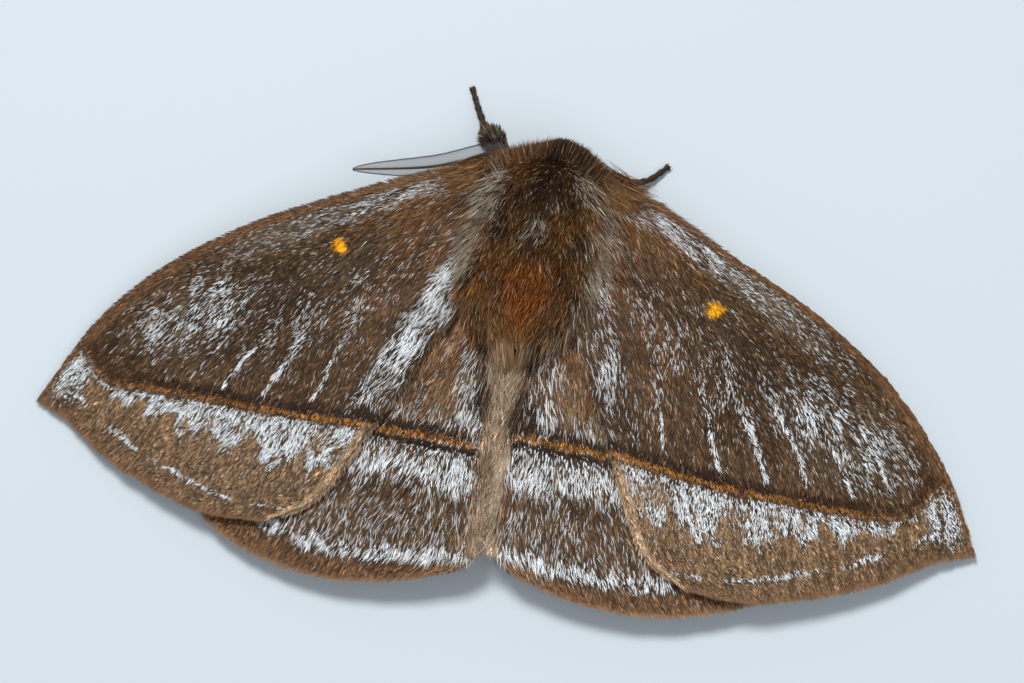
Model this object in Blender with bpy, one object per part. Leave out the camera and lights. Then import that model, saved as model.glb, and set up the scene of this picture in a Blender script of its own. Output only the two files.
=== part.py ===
"""A life-size eupterotid moth at rest, Tagora glaucescens: legs on the floor, wings spread flat and swept back.

The animal's own axes are +X to its left, +Y to its rear and +Z up. Sizes are in millimetres, turned to metres
by MM when a mesh is made. The finished model stands with its origin under the middle of its bounding box.
"""

import math

import bmesh
import bpy
import numpy as np
from mathutils import Vector

MM = 0.001
GAP = 0.3
RNG = np.random.default_rng(7)

# Driving sizes of the wings. The forewing is 46.5 mm from its root to its apex.
MEMBRANE = 0.55
VEIN_RISE = 0.25
VEIN_HALF_WIDTH = 0.35
WING_STACK = MEMBRANE + VEIN_RISE + GAP
TIP_HEIGHT = MEMBRANE
HALF_SPAN = 46.0
ROOF_CURVE = 1.6
COSTA_DROOP = 0.25
COSTA_DROOP_REACH = 0.3
SCALLOP = 0.3

FOREWING_ROOT = (5.5, -3.0)
FOREWING_SWEEP = {"left": 32.6, "right": 36.4}
HINDWING_ROOT = {"left": (0.0, 0.1), "right": (0.0, -0.45)}
HINDWING_SWEEP = 0.0

# Driving sizes of the body: the middle of the thorax's core and its half sizes, then the same for the head.
THORAX_MIDDLE = Vector((0.0, 3.2, 6.0))
THORAX_HALF = Vector((5.6, 9.0, 4.3))
THORAX_BLUNTNESS = 2.7
HEAD_MIDDLE = Vector((-0.7, -6.7, 4.4))
HEAD_HALF = Vector((2.3, 2.0, 2.3))
EYE_RADIUS = 1.25
EYE_OUT = Vector((1.8, -0.3, -0.1))
RIDGE = ((5.0, 12.0, 28.0, 36.0), (7.8, 7.4, 5.2, 4.4))

ASIDE = Vector((1, 0, 0))
SIDES = {"left": 1.0, "right": -1.0}

COLOURS = {
    "coat": (0.085, 0.045, 0.025),
    "wing": (0.13, 0.085, 0.06),
    "eye": (0.012, 0.01, 0.01),
    "antenna": (0.05, 0.04, 0.032),
    "leg": (0.055, 0.04, 0.03),
}
ROUGHNESS = {"coat": 0.9, "wing": 0.8, "eye": 0.15, "antenna": 0.7, "leg": 0.8}


def clear_scene():
    for obj in list(bpy.data.objects):
        bpy.data.objects.remove(obj)


def material(name):
    mat = bpy.data.materials.get(name)
    if mat is None:
        mat = bpy.data.materials.new(name)
        mat.use_nodes = True
        shader = mat.node_tree.nodes["Principled BSDF"]
        shader.inputs["Base Color"].default_value = (*COLOURS[name], 1.0)
        shader.inputs["Roughness"].default_value = ROUGHNESS[name]
        shader.inputs["Metallic"].default_value = 0.0
    return mat


def add_object(name, points, faces, finish="coat"):
    """A mesh object from points in millimetres."""
    mesh = bpy.data.meshes.new(name)
    mesh.from_pydata([Vector(p) * MM for p in points], [], faces)
    mesh.update()
    obj = bpy.data.objects.new(name, mesh)
    bpy.context.scene.collection.objects.link(obj)
    obj.data.materials.append(material(finish))
    return obj


def bake_modifiers(obj):
    graph = bpy.context.evaluated_depsgraph_get()
    baked = bpy.data.meshes.new_from_object(obj.evaluated_get(graph))
    obj.modifiers.clear()
    obj.data = baked


def keep_largest(obj):
    """Drops every closed surface of the mesh but the one with the most volume."""
    shape = bmesh.new()
    shape.from_mesh(obj.data)
    bmesh.ops.triangulate(shape, faces=shape.faces[:])
    unseen = set(shape.faces)
    shells = []
    while unseen:
        front = [unseen.pop()]
        shell = []
        while front:
            face = front.pop()
            shell.append(face)
            for edge in face.edges:
                for other in edge.link_faces:
                    if other in unseen:
                        unseen.discard(other)
                        front.append(other)
        volume = sum(f.verts[0].co.dot(f.verts[1].co.cross(f.verts[2].co)) for f in shell)
        shells.append((volume, shell))
    shells.sort(key=lambda item: item[0])
    for _, shell in shells[:-1]:
        bmesh.ops.delete(shape, geom=shell, context="FACES")
    shape.to_mesh(obj.data)
    shape.free()


def combine(obj, operation, others, solver="EXACT"):
    """Joins the other closed meshes to obj, or cuts them from it, in one Boolean."""
    group = bpy.data.collections.new("pieces")
    bpy.context.scene.collection.children.link(group)
    for other in others:
        bpy.context.scene.collection.objects.unlink(other)
        group.objects.link(other)
    step = obj.modifiers.new("boolean", "BOOLEAN")
    step.operation = operation
    step.operand_type = "COLLECTION"
    step.collection = group
    step.solver = solver
    bake_modifiers(obj)
    for other in others:
        bpy.data.objects.remove(other)
    bpy.data.collections.remove(group)
    keep_largest(obj)


def smooth_step(value):
    t = min(1.0, max(0.0, value))
    return t * t * (3 - 2 * t)


def curve_through(points, at):
    """A smooth curve through the points at a share of its length, as a centripetal-like cubic spline."""
    pts = [np.array(p, float) for p in points]
    lengths = [float(np.linalg.norm(b - a)) for a, b in zip(pts, pts[1:])]
    total = sum(lengths)
    target = at * total
    i = 0
    while i < len(lengths) - 1 and target > lengths[i]:
        target -= lengths[i]
        i += 1
    t = min(1.0, target / lengths[i])

    def slope(k):
        if k == 0:
            return (pts[1] - pts[0]) / lengths[0]
        if k == len(pts) - 1:
            return (pts[-1] - pts[-2]) / lengths[-1]
        return (pts[k + 1] - pts[k - 1]) / (lengths[k] + lengths[k - 1])

    a, b = pts[i], pts[i + 1]
    ma, mb = slope(i) * lengths[i], slope(i + 1) * lengths[i]
    h = (2 * t**3 - 3 * t**2 + 1, t**3 - 2 * t**2 + t, -2 * t**3 + 3 * t**2, t**3 - t**2)
    return h[0] * a + h[1] * ma + h[2] * b + h[3] * mb


# The wings' outlines, in millimetres in each wing's own plane. The forewing's first number runs from its root
# to its apex, and the second to its rear; the hindwing's are to the side and to the rear.
FOREWING = {
    "costa": [(-1.5, -0.6), (4.0, -2.9), (13.0, -4.9), (22.5, -6.4), (32.0, -6.2), (39.5, -4.0), (46.5, 0.0)],
    "termen": [(46.5, 0.0), (44.5, 3.0), (42.4, 8.0), (39.4, 12.8), (35.6, 17.4), (30.6, 20.8)],
    "inner": [(0.5, 8.5), (9.2, 11.8), (15.2, 15.2), (22.0, 19.0), (26.0, 20.9), (30.6, 20.8)],
    "base": [(-1.5, -0.6), (-0.6, 4.0), (0.5, 8.5)],
    "veins": (0.07, 0.20, 0.32, 0.44, 0.57, 0.72, 0.90),
    "gather": 0.8,
    "stations": 10,
}
HINDWING = {
    "costa": [(3.4, 1.6), (11.0, 5.5), (20.0, 13.0), (26.5, 20.0), (28.6, 25.6)],
    "termen": [(28.6, 25.6), (27.0, 30.0), (22.4, 33.1), (15.0, 34.9), (8.0, 34.5), (2.9, 33.2)],
    "inner": [(0.35, 8.0), (0.35, 14.0), (0.35, 22.0), (0.6, 29.6), (1.2, 31.8), (2.9, 33.2)],
    "base": [(3.4, 1.6), (1.8, 4.6), (0.35, 8.0)],
    "veins": (0.10, 0.24, 0.38, 0.52, 0.66, 0.80, 0.92),
    "gather": 0.3,
    "stations": 10,
}


def wing_point(plan, across, along):
    """A Coons patch: across runs from the costa at 0 to the inner margin at 1, along from the base to the termen."""
    costa, inner = curve_through(plan["costa"], along), curve_through(plan["inner"], along)
    base, termen = curve_through(plan["base"], across), curve_through(plan["termen"], across)
    corners = (
        (1 - across) * (1 - along) * np.array(plan["base"][0])
        + (1 - across) * along * np.array(plan["termen"][0])
        + across * (1 - along) * np.array(plan["base"][-1])
        + across * along * np.array(plan["termen"][-1])
    )
    return (1 - across) * costa + across * inner + (1 - along) * base + along * termen - corners


def place(point, root, sweep, side):
    """A point of a wing's own plane, seen from above in the animal's axes."""
    turn = math.radians(sweep)
    p, q = point
    out = root[0] + p * math.cos(turn) - q * math.sin(turn)
    rear = root[1] + p * math.sin(turn) + q * math.cos(turn)
    return side * out, rear


def roof(x, y):
    """Height of the top of the spread forewings over the floor: a low roof with its ridge along the body."""
    ridge = float(np.interp(y, *RIDGE))
    fall = min(1.0, abs(x) / HALF_SPAN) ** ROOF_CURVE
    return TIP_HEIGHT + (ridge - TIP_HEIGHT) * (1 - fall)


def gathered(plan, line, along):
    """The share across the wing of a line that starts close to the costa at the root and fans out to the termen."""
    return line * (1 - plan["gather"] * (1 - line**16) * (1 - along) ** 2)


def vein_lines(plan, along):
    """(share across, lift, depth of scallop) of each grid line at one station."""
    chord = float(np.linalg.norm(wing_point(plan, 0.02, along) - wing_point(plan, 0.98, along)))
    edges = [gathered(plan, line, along) for line in (0.0, *plan["veins"], 1.0)]
    narrowest = min(b - a for a, b in zip(edges, edges[1:]))
    half = min(VEIN_HALF_WIDTH / chord, narrowest * 0.27)
    rise = VEIN_RISE * smooth_step(along / 0.3)
    lines = [(0.0, 0.0, 0.0)]
    for before, vein in zip(edges, edges[1:-1]):
        lines.append(((before + vein) / 2, 0.0, SCALLOP))
        lines += [(vein - half, 0.0, 0.0), (vein, rise, 0.0), (vein + half, 0.0, 0.0)]
    lines += [((edges[-2] + 1) / 2, 0.0, SCALLOP), (1.0, 0.0, 0.0)]
    return lines


def wing_height(x, y, across, below):
    """Top of the membrane. The leading edge droops, and a hindwing lies below the forewing."""
    droop = 0.0 if below else COSTA_DROOP * (1 - smooth_step(across / COSTA_DROOP_REACH))
    return TIP_HEIGHT + (roof(x, y) - TIP_HEIGHT) * (1 - droop) - below


def wing(name, plan, root, sweep, side, below=0.0):
    """A thin curved sheet with raised veins. Both faces have the same triangles, so they never cross."""
    stations = plan["stations"]
    top, bottom = [], []
    for j in range(stations):
        along = (j / (stations - 1)) ** 0.9
        for across, lift, scallop in vein_lines(plan, along):
            inward = along - (scallop / 40.0 if j == stations - 1 else 0.0)
            x, y = place(wing_point(plan, across, inward), root, sweep, side)
            z = max(wing_height(x, y, across, below), MEMBRANE)
            top.append((x, y, z + lift))
            bottom.append((x, y, max(z - MEMBRANE, 0.0)))
    width = len(top) // stations
    count = len(top)
    faces = []
    for j in range(stations - 1):
        for i in range(width - 1):
            a, b = j * width + i, j * width + i + 1
            c, d = a + width, b + width
            up = [(a, b, d), (a, d, c)]
            if side > 0:
                up = [tuple(reversed(f)) for f in up]
            faces += up
            faces += [tuple(count + k for k in reversed(f)) for f in up]
    rim = (
        [i for i in range(width)]
        + [j * width + width - 1 for j in range(1, stations)]
        + [(stations - 1) * width + i for i in range(width - 2, -1, -1)]
        + [j * width for j in range(stations - 2, 0, -1)]
    )
    for a, b in zip(rim, rim[1:] + rim[:1]):
        wall = [(a, b, count + b), (a, count + b, count + a)]
        if side > 0:
            faces += wall
        else:
            faces += [tuple(reversed(f)) for f in wall]
    return add_object(name, top + bottom, faces, "wing")


def ellipsoid(name, middle, half, rings=12, sides=20, grow=0.0, finish="coat", bluntness=2.0):
    """A closed ellipsoid whose poles lie along Y, grown on every side by a width. Bluntness 2 is a true ellipse."""
    points = [(middle[0], middle[1] - half[1] - grow, middle[2])]
    for i in range(1, rings):
        lat = math.pi * i / rings
        ring = (1 - abs(math.cos(lat)) ** bluntness) ** (1 / bluntness)
        for j in range(sides):
            lon = 2 * math.pi * j / sides
            points.append(
                (
                    middle[0] + (half[0] + grow) * ring * math.cos(lon),
                    middle[1] - (half[1] + grow) * math.cos(lat),
                    middle[2] + (half[2] + grow) * ring * math.sin(lon),
                )
            )
    points.append((middle[0], middle[1] + half[1] + grow, middle[2]))
    last = len(points) - 1
    faces = []
    for j in range(sides):
        k = (j + 1) % sides
        faces.append((0, 1 + j, 1 + k))
        faces.append((last, last - sides + k, last - sides + j))
        for i in range(rings - 2):
            a, b = 1 + i * sides + j, 1 + i * sides + k
            faces += [(a, a + sides, b + sides), (a, b + sides, b)]
    return outward(add_object(name, points, faces, finish))


def outward(obj):
    shape = bmesh.new()
    shape.from_mesh(obj.data)
    bmesh.ops.recalc_face_normals(shape, faces=shape.faces[:])
    if shape.calc_volume(signed=True) < 0:
        bmesh.ops.reverse_faces(shape, faces=shape.faces[:])
    shape.to_mesh(obj.data)
    shape.free()
    return obj


def tube(name, path, radii, sides=8, flat=1.0, finish="coat", floor=None):
    """A closed tapered tube along a path. floor clamps its points to a level, which leaves small flats."""
    path = [Vector(p) for p in path]
    points, faces = [], []
    aside = Vector((0, 0, 1))
    for i, centre in enumerate(path):
        ahead = (path[min(i + 1, len(path) - 1)] - path[max(i - 1, 0)]).normalized()
        across = ahead.cross(aside).normalized()
        over = across.cross(ahead).normalized()
        for j in range(sides):
            turn = 2 * math.pi * (j + 0.5) / sides
            point = centre + across * (radii[i] * math.cos(turn)) + over * (radii[i] * flat * math.sin(turn))
            if floor is not None:
                point.z = max(point.z, floor)
            points.append(tuple(point))
    for i in range(len(path) - 1):
        for j in range(sides):
            k = (j + 1) % sides
            a, b, c, d = i * sides + j, i * sides + k, (i + 1) * sides + j, (i + 1) * sides + k
            faces += [(a, b, d), (a, d, c)]
    last = (len(path) - 1) * sides
    for j in range(1, sides - 1):
        faces += [(0, j + 1, j), (last, last + j, last + j + 1)]
    return outward(add_object(name, points, faces, finish))


def lock(name, path, widths, thicknesses, wide, finish="coat"):
    """A flat, tapered lock of hair, broad along one direction: a diamond section that ends in a point."""
    points, faces = [], []
    path = [Vector(p) for p in path]
    for i, centre in enumerate(path[:-1]):
        ahead = (path[i + 1] - path[max(i - 1, 0)]).normalized()
        over = wide.cross(ahead).normalized()
        across = ahead.cross(over).normalized()
        half, thick = widths[i] / 2, thicknesses[i] / 2
        for a, b in ((half, 0), (0, thick), (-half, 0), (0, -thick)):
            points.append(tuple(centre + across * a + over * b))
    points.append(tuple(path[-1]))
    rows = len(path) - 1
    for i in range(rows - 1):
        for j in range(4):
            k = (j + 1) % 4
            a, b, c, d = i * 4 + j, i * 4 + k, (i + 1) * 4 + j, (i + 1) * 4 + k
            faces += [(a, b, d), (a, d, c)]
    tip = len(points) - 1
    for j in range(4):
        faces.append(((rows - 1) * 4 + j, (rows - 1) * 4 + (j + 1) % 4, tip))
    faces += [(0, 2, 1), (0, 3, 2)]
    return outward(add_object(name, points, faces, finish))


def core_ring(y):
    """How wide the thorax's core is at a distance behind the origin, as a share of its widest."""
    t = min(0.97, abs(y - THORAX_MIDDLE.y) / THORAX_HALF.y)
    return (1 - t**THORAX_BLUNTNESS) ** (1 / THORAX_BLUNTNESS)


def core_point(y, angle, lift=0.0):
    """The point of the core's side at an angle from straight up, lifted off it."""
    ring = core_ring(y)
    turn = math.radians(angle)
    x = (THORAX_HALF.x * ring + lift) * math.sin(turn)
    return Vector((x, y, THORAX_MIDDLE.z + (THORAX_HALF.z * ring + lift) * math.cos(turn)))


# The coat of the thorax: rows of locks from the collar to the tuft over the abdomen's base. Each row is
# (how far back its roots lie, locks in the row, half its spread in degrees, length, splay to the side).
COAT_ROWS = (
    (-4.6, 8, 84, 3.8, 0.55),
    (-2.9, 8, 66, 4.8, 0.60),
    (-0.5, 8, 60, 5.2, 0.70),
    (2.0, 8, 60, 5.2, 0.65),
    (4.4, 8, 58, 5.0, 0.50),
    (6.6, 7, 56, 4.8, 0.30),
    (8.6, 6, 52, 4.6, 0.15),
    (10.4, 4, 42, 4.6, 0.05),
)
RUFF_LOCKS = 8
LOCK_WIDTH = 1.7
LOCK_THICKNESS = 0.75
LOCK_STAND_OFF = 1.7
MARGIN_LOCKS = 7
LOCK_CLEARANCE = VEIN_RISE + GAP + 0.2


def above_wings(point, half_thickness):
    """Lifts a point of the coat so that it clears the wings' bases."""
    lowest = roof(point.x, point.y) + LOCK_CLEARANCE + half_thickness
    return Vector((point.x, point.y, max(point.z, lowest)))


def thorax_lock(index, back, angle, length, splay):
    """A lock that leaves the core, lies back over it and ends off it in a point."""
    share = math.sin(math.radians(angle))
    root = core_point(back, angle)
    lie = Vector((share * splay + RNG.normal(0, 0.06), 1.0, 0.0)).normalized()
    path = [core_point(back - 0.2, angle, -1.2)]
    for step, lift in ((0.28, 0.25), (0.64, 0.6), (1.0, 1.0)):
        spot = root + lie * (length * step)
        ring = core_ring(spot.y)
        level = math.sqrt(max(0.0, 1 - (spot.x / (THORAX_HALF.x * ring)) ** 2)) if spot.y < 11.6 else 0.3
        z = THORAX_MIDDLE.z + THORAX_HALF.z * ring * level + LOCK_STAND_OFF * lift
        path.append(above_wings(Vector((spot.x, spot.y, z)), LOCK_THICKNESS / 2 * (1.1 - step)))
    wide = Vector((1, 0, -share * 0.7))
    widths = [LOCK_WIDTH * w for w in (0.8, 1.0, 0.8, 0)]
    thick = [LOCK_THICKNESS * t for t in (1.0, 1.0, 0.8, 0)]
    return lock(f"lock_{index}", path, widths, thick, wide)


def ruff_lock(index, angle):
    """A lock of the collar, which stands up before the core and curls back over it."""
    turn = math.radians(angle)
    out, high = math.sin(turn), math.cos(turn)
    base = Vector((0, 0, THORAX_MIDDLE.z + 0.2))
    path = [
        base + Vector((2.2 * out, -3.2, 1.4 * high)),
        base + Vector((3.8 * out, -6.2, 2.6 * high)),
        base + Vector((4.9 * out, -6.2, 4.6 * high)),
    ]
    return lock(f"ruff_{index}", path, (1.4, 1.7, 0), (0.8, 0.9, 0), Vector((high, 0, -out)))


def thorax():
    body = core("thorax")
    locks = []
    for row, (back, count, spread, length, splay) in enumerate(COAT_ROWS):
        for i in range(count):
            share = (i + (0.25 if row % 2 else -0.25)) / (count - 1) * 2 - 1
            angle = spread * min(1.0, max(-1.0, share)) + RNG.normal(0, 2.0)
            size = length * RNG.uniform(0.9, 1.1)
            locks.append(thorax_lock(len(locks), back + RNG.normal(0, 0.25), angle, size, splay))
    for i in range(RUFF_LOCKS):
        locks.append(ruff_lock(i, -66 + 132 * i / (RUFF_LOCKS - 1)))
    combine(body, "UNION", locks)
    return body


def core(name, grow=0.0):
    return ellipsoid(name, THORAX_MIDDLE, THORAX_HALF, 14, 20, grow, bluntness=THORAX_BLUNTNESS)


def core_cutter():
    return core("core_cutter", GAP)


def wings():
    for side_name, side in SIDES.items():
        fore = wing(f"forewing_{side_name}", FOREWING, FOREWING_ROOT, FOREWING_SWEEP[side_name], side)
        combine(fore, "DIFFERENCE", [core_cutter()])
        hind = wing(
            f"hindwing_{side_name}", HINDWING, HINDWING_ROOT[side_name], HINDWING_SWEEP, side, WING_STACK
        )
        combine(hind, "UNION", margin_locks(side))
        combine(hind, "DIFFERENCE", [core_cutter()])


def margin_locks(side):
    """The long hair of the hindwing's inner margin, which lies over the abdomen."""
    locks = []
    for i in range(MARGIN_LOCKS):
        rear = 13.4 + 13.6 * i / (MARGIN_LOCKS - 1)
        out = 1.9 + RNG.uniform(-0.2, 0.3)
        path = []
        for step, lift in ((0.0, -0.3), (0.3, 0.25), (0.65, 0.5), (1.0, 0.62)):
            x = side * max(0.85, out - 1.0 * step)
            y = rear + 4.2 * step
            path.append(Vector((x, y, roof(x, y) - WING_STACK + lift)))
        locks.append(lock(f"margin_{i}", path, (1.1, 1.2, 0.8, 0), (0.5, 0.6, 0.5, 0), ASIDE, "wing"))
    return locks


# The abdomen's rings, each (distance behind the origin, height of its middle, radius).
ABDOMEN_RINGS = (
    (9.0, 3.3, 2.2),
    (13.0, 2.8, 2.4),
    (17.0, 2.45, 2.15),
    (21.0, 2.2, 1.85),
    (25.0, 2.0, 1.45),
    (29.5, 1.8, 0.7),
)
ABDOMEN_SEGMENTS = 7
ABDOMEN_BREADTH = 1.3
SEGMENT_STEP = 0.16


def abdomen():
    first, last = ABDOMEN_RINGS[0][0], ABDOMEN_RINGS[-1][0]
    rear = [r[0] for r in ABDOMEN_RINGS]
    path, radii = [], []
    for i in range(ABDOMEN_SEGMENTS):
        for share, swell in ((0.0, -SEGMENT_STEP), (0.18, 0.0), (0.98, SEGMENT_STEP)):
            y = first + (last - first) * (i + share) / ABDOMEN_SEGMENTS
            path.append((0.0, y, float(np.interp(y, rear, [r[1] for r in ABDOMEN_RINGS]))))
            radii.append(float(np.interp(y, rear, [r[2] for r in ABDOMEN_RINGS])) + swell)
    path.append((0.0, last + 0.7, ABDOMEN_RINGS[-1][1] - 0.05))
    radii.append(0.35)
    body = tube("abdomen", path, [r * ABDOMEN_BREADTH for r in radii], 12, 1 / ABDOMEN_BREADTH)
    combine(body, "DIFFERENCE", [core_cutter()])


def head():
    skull = ellipsoid("head", HEAD_MIDDLE, HEAD_HALF, rings=10, sides=14)
    palps = []
    for side in SIDES.values():
        start = HEAD_MIDDLE + Vector((side * 0.55, -0.9, -1.3))
        path = [start, start + Vector((side * 0.1, -1.1, -0.3)), start + Vector((side * 0.15, -1.9, 0.15))]
        path.append(path[-1] + Vector((side * 0.02, -0.65, 0.3)))
        palps.append(tube(f"palp_{side}", path, (0.45, 0.5, 0.42, 0.2), sides=6))
    tuft = []
    for i in range(3):
        across = -1.0 + i
        base = HEAD_MIDDLE + Vector((across, -0.9, 1.35 - 0.18 * across * across))
        path = [base - Vector((0, 0, 0.6)), base + Vector((0, -0.4, 0.4)), base + Vector((0, -0.3, 0.9))]
        path.append(base + Vector((0.1 * across, 0.0, 1.3)))
        tuft.append(lock(f"tuft_{i}", path, (0.9, 1.0, 0.7, 0), (0.6, 0.6, 0.5, 0), ASIDE))
    combine(skull, "UNION", palps + tuft)
    cutters = [core_cutter()]
    for side_name, side in SIDES.items():
        middle = eye_middle(side)
        cutters.append(ellipsoid(f"socket_{side_name}", middle, Vector((EYE_RADIUS,) * 3), 10, 14, GAP))
    combine(skull, "DIFFERENCE", cutters)
    for side_name, side in SIDES.items():
        ellipsoid(f"eye_{side_name}", eye_middle(side), Vector((EYE_RADIUS,) * 3), 10, 14, finish="eye")


def eye_middle(side):
    return HEAD_MIDDLE + Vector((side * EYE_OUT.x, EYE_OUT.y, EYE_OUT.z))


# Each antenna's shaft from the head outwards. The left one lies before the wing, the right one under its edge.
ANTENNA_PATHS = {
    "left": [(0.4, -7.5, 5.9), (2.4, -7.7, 5.6), (5.4, -6.9, 4.7), (11.0, -4.7, 4.0), (18.8, -3.9, 3.0)],
    "right": [(-1.8, -7.3, 5.9), (-3.6, -6.9, 5.2), (-7.4, -4.0, 4.3), (-12.0, -0.6, 3.6), (-16.5, 2.0, 3.3)],
}
ANTENNA_RAYS = 11
RAY_LENGTH = 1.4
RAY_WIDTH = 0.52
SHAFT_RADIUS = (0.42, 0.27)


def ray(name, root, tip, width):
    """One ray of the antenna's feather: three-sided, and narrower at its end."""
    ahead = (tip - root).normalized()
    across = ahead.cross(Vector((0, 0, 1))).normalized()
    over = across.cross(ahead).normalized()
    points = []
    for centre, half in ((root, width * 0.62), (root.lerp(tip, 0.75), width * 0.55)):
        for turn in (90, 210, 330):
            a = math.radians(turn)
            points.append(centre + across * (half * math.cos(a)) + over * (half * math.sin(a)))
    points.append(tip)
    faces = [(0, 2, 1), (3, 4, 6), (4, 5, 6), (5, 3, 6)]
    for j in range(3):
        k = (j + 1) % 3
        faces += [(j, k, 3 + k), (j, 3 + k, 3 + j)]
    return outward(add_object(name, points, faces, "antenna"))


def antenna(side_name, side):
    route = ANTENNA_PATHS[side_name]
    steps = 12
    path = [Vector(curve_through(route, i / steps)) for i in range(steps + 1)]
    radii = [SHAFT_RADIUS[0] + (SHAFT_RADIUS[1] - SHAFT_RADIUS[0]) * (i / steps) ** 0.6 for i in range(steps + 1)]
    shaft = tube(f"antenna_{side_name}", path, radii, sides=6, finish="antenna")
    rays = []
    for i in range(ANTENNA_RAYS):
        share = 0.24 + 0.72 * i / (ANTENNA_RAYS - 1)
        length = RAY_LENGTH * math.sin(math.pi * (0.2 + 0.7 * i / (ANTENNA_RAYS - 1))) ** 0.6
        centre = Vector(curve_through(route, share))
        ahead = (Vector(curve_through(route, min(1.0, share + 0.02))) - centre).normalized()
        across = ahead.cross(Vector((0, 0, 1))).normalized()
        for way in (1, -1):
            tip = centre + across * (way * length) + ahead * (0.45 * length) - Vector((0, 0, 0.12 * length))
            rays.append(ray(f"ray_{i}_{way}", centre, tip, RAY_WIDTH))
    combine(shaft, "UNION", rays)
    cutters = [ellipsoid("head_cutter", HEAD_MIDDLE, HEAD_HALF, 10, 14, GAP)]
    cutters.append(ellipsoid("eye_cutter", eye_middle(side), Vector((EYE_RADIUS,) * 3), 10, 14, GAP))
    combine(shaft, "DIFFERENCE", cutters)


# Each leg's joints from inside the thorax to the foot: coxa, femur, hairy tibia, then the tarsus on the floor.
LEGS = {
    "foreleg_left": [
        (1.8, -2.0, 4.2), (2.8, -5.2, 1.9), (5.7, -7.6, 2.9), (7.2, -9.9, 2.1), (8.4, -12.1, 0.9), (9.5, -14.6, 0.3),
    ],
    "foreleg_right": [
        (-1.8, -2.0, 4.6), (-2.6, -4.9, 2.2), (-4.6, -5.9, 2.8), (-6.6, -6.3, 1.7), (-8.6, -7.2, 0.7), (-10.3, -9.0, 0.3),
    ],
    "midleg_left": [
        (3.0, 1.5, 4.0), (4.6, 1.0, 1.9), (9.0, -0.4, 3.9), (13.0, 2.2, 2.0), (15.0, 3.6, 0.9), (17.6, 5.0, 0.3),
    ],
    "midleg_right": [
        (-3.0, 1.5, 4.0), (-4.6, 1.2, 1.9), (-8.6, 0.6, 3.9), (-12.2, 3.4, 2.0), (-14.0, 5.0, 0.9), (-16.4, 6.8, 0.3),
    ],
    "hindleg_left": [
        (2.4, 6.0, 4.0), (4.2, 7.6, 1.9), (7.4, 11.2, 3.4), (9.4, 16.0, 1.8), (10.4, 18.2, 0.8), (11.6, 21.2, 0.3),
    ],
    "hindleg_right": [
        (-2.4, 6.0, 4.0), (-4.2, 7.6, 1.9), (-7.8, 10.6, 3.4), (-10.2, 15.0, 1.8), (-11.4, 17.2, 0.8), (-12.9, 20.0, 0.3),
    ],
}
LEG_RADII = (1.0, 1.05, 0.95, 0.62, 0.42, 0.4)
TIBIA_BRUSH = {"foreleg_left": 1.25}


def leg(name, joints):
    steps = 16
    lengths = [0.0]
    for a, b in zip(joints, joints[1:]):
        lengths.append(lengths[-1] + (Vector(b) - Vector(a)).length)
    shares = [x / lengths[-1] for x in lengths]
    brush = TIBIA_BRUSH.get(name, 0.85)
    path, radii = [], []
    for i in range(steps + 1):
        at = i / steps
        path.append(Vector(curve_through(joints, at)))
        radius = float(np.interp(at, shares, LEG_RADII))
        tibia = math.exp(-(((at - (shares[2] + shares[3]) / 2) / 0.09) ** 2))
        radii.append(radius * (1 - tibia) + brush * tibia)
    limb = tube(name, path, radii, sides=7, finish="leg", floor=0.0)
    combine(limb, "DIFFERENCE", [core_cutter()])


def stand_on_origin():
    """Moves the whole animal so that the origin lies under the middle of its bounding box."""
    bpy.context.view_layer.update()
    corners = [
        obj.matrix_world @ Vector(c)
        for obj in bpy.context.scene.objects
        if obj.type == "MESH"
        for c in obj.bound_box
    ]
    low = [min(c[k] for c in corners) for k in range(3)]
    high = [max(c[k] for c in corners) for k in range(3)]
    stand = bpy.data.objects.new("moth", None)
    bpy.context.scene.collection.objects.link(stand)
    for obj in list(bpy.context.scene.objects):
        if obj.type == "MESH":
            obj.parent = stand
    stand.location = (-(low[0] + high[0]) / 2, -(low[1] + high[1]) / 2, -low[2])


def shade():
    for obj in bpy.context.scene.objects:
        if obj.type == "MESH":
            obj.data.shade_smooth()
            obj.data.set_sharp_from_angle(angle=math.radians(40))


def main():
    clear_scene()
    thorax()
    abdomen()
    head()
    wings()
    for side_name, side in SIDES.items():
        antenna(side_name, side)
    for name, joints in LEGS.items():
        leg(name, joints)
    stand_on_origin()
    shade()


main()
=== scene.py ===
"""The look of a resting eupterotid moth: skins, scales, fur, feelers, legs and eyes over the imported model.

Sizes are in millimetres in the animal's own axes, +X to its left, +Y to its rear and +Z up, and are turned to
metres and moved to the model's frame where a mesh is made. Every form and marking comes from the named sizes,
curves and functions below.
"""

import math
from types import SimpleNamespace

import bpy
import numpy as np
from mathutils import Matrix, Vector


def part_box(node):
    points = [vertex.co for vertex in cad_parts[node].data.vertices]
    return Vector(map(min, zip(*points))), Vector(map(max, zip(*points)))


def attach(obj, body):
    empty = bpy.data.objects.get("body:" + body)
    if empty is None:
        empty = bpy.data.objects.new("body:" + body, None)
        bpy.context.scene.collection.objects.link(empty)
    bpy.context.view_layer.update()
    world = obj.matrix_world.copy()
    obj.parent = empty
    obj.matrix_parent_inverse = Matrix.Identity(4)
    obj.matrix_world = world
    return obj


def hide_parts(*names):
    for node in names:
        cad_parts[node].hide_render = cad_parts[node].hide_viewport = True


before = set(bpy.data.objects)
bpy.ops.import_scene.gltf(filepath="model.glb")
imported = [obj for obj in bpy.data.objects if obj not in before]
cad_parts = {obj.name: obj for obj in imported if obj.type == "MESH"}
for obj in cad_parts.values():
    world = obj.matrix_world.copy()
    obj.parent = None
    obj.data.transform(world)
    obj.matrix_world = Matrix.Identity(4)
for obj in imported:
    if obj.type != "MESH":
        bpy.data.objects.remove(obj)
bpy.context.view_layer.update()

MM = 0.001
SIDES = {"left": 1.0, "right": -1.0}

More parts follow.
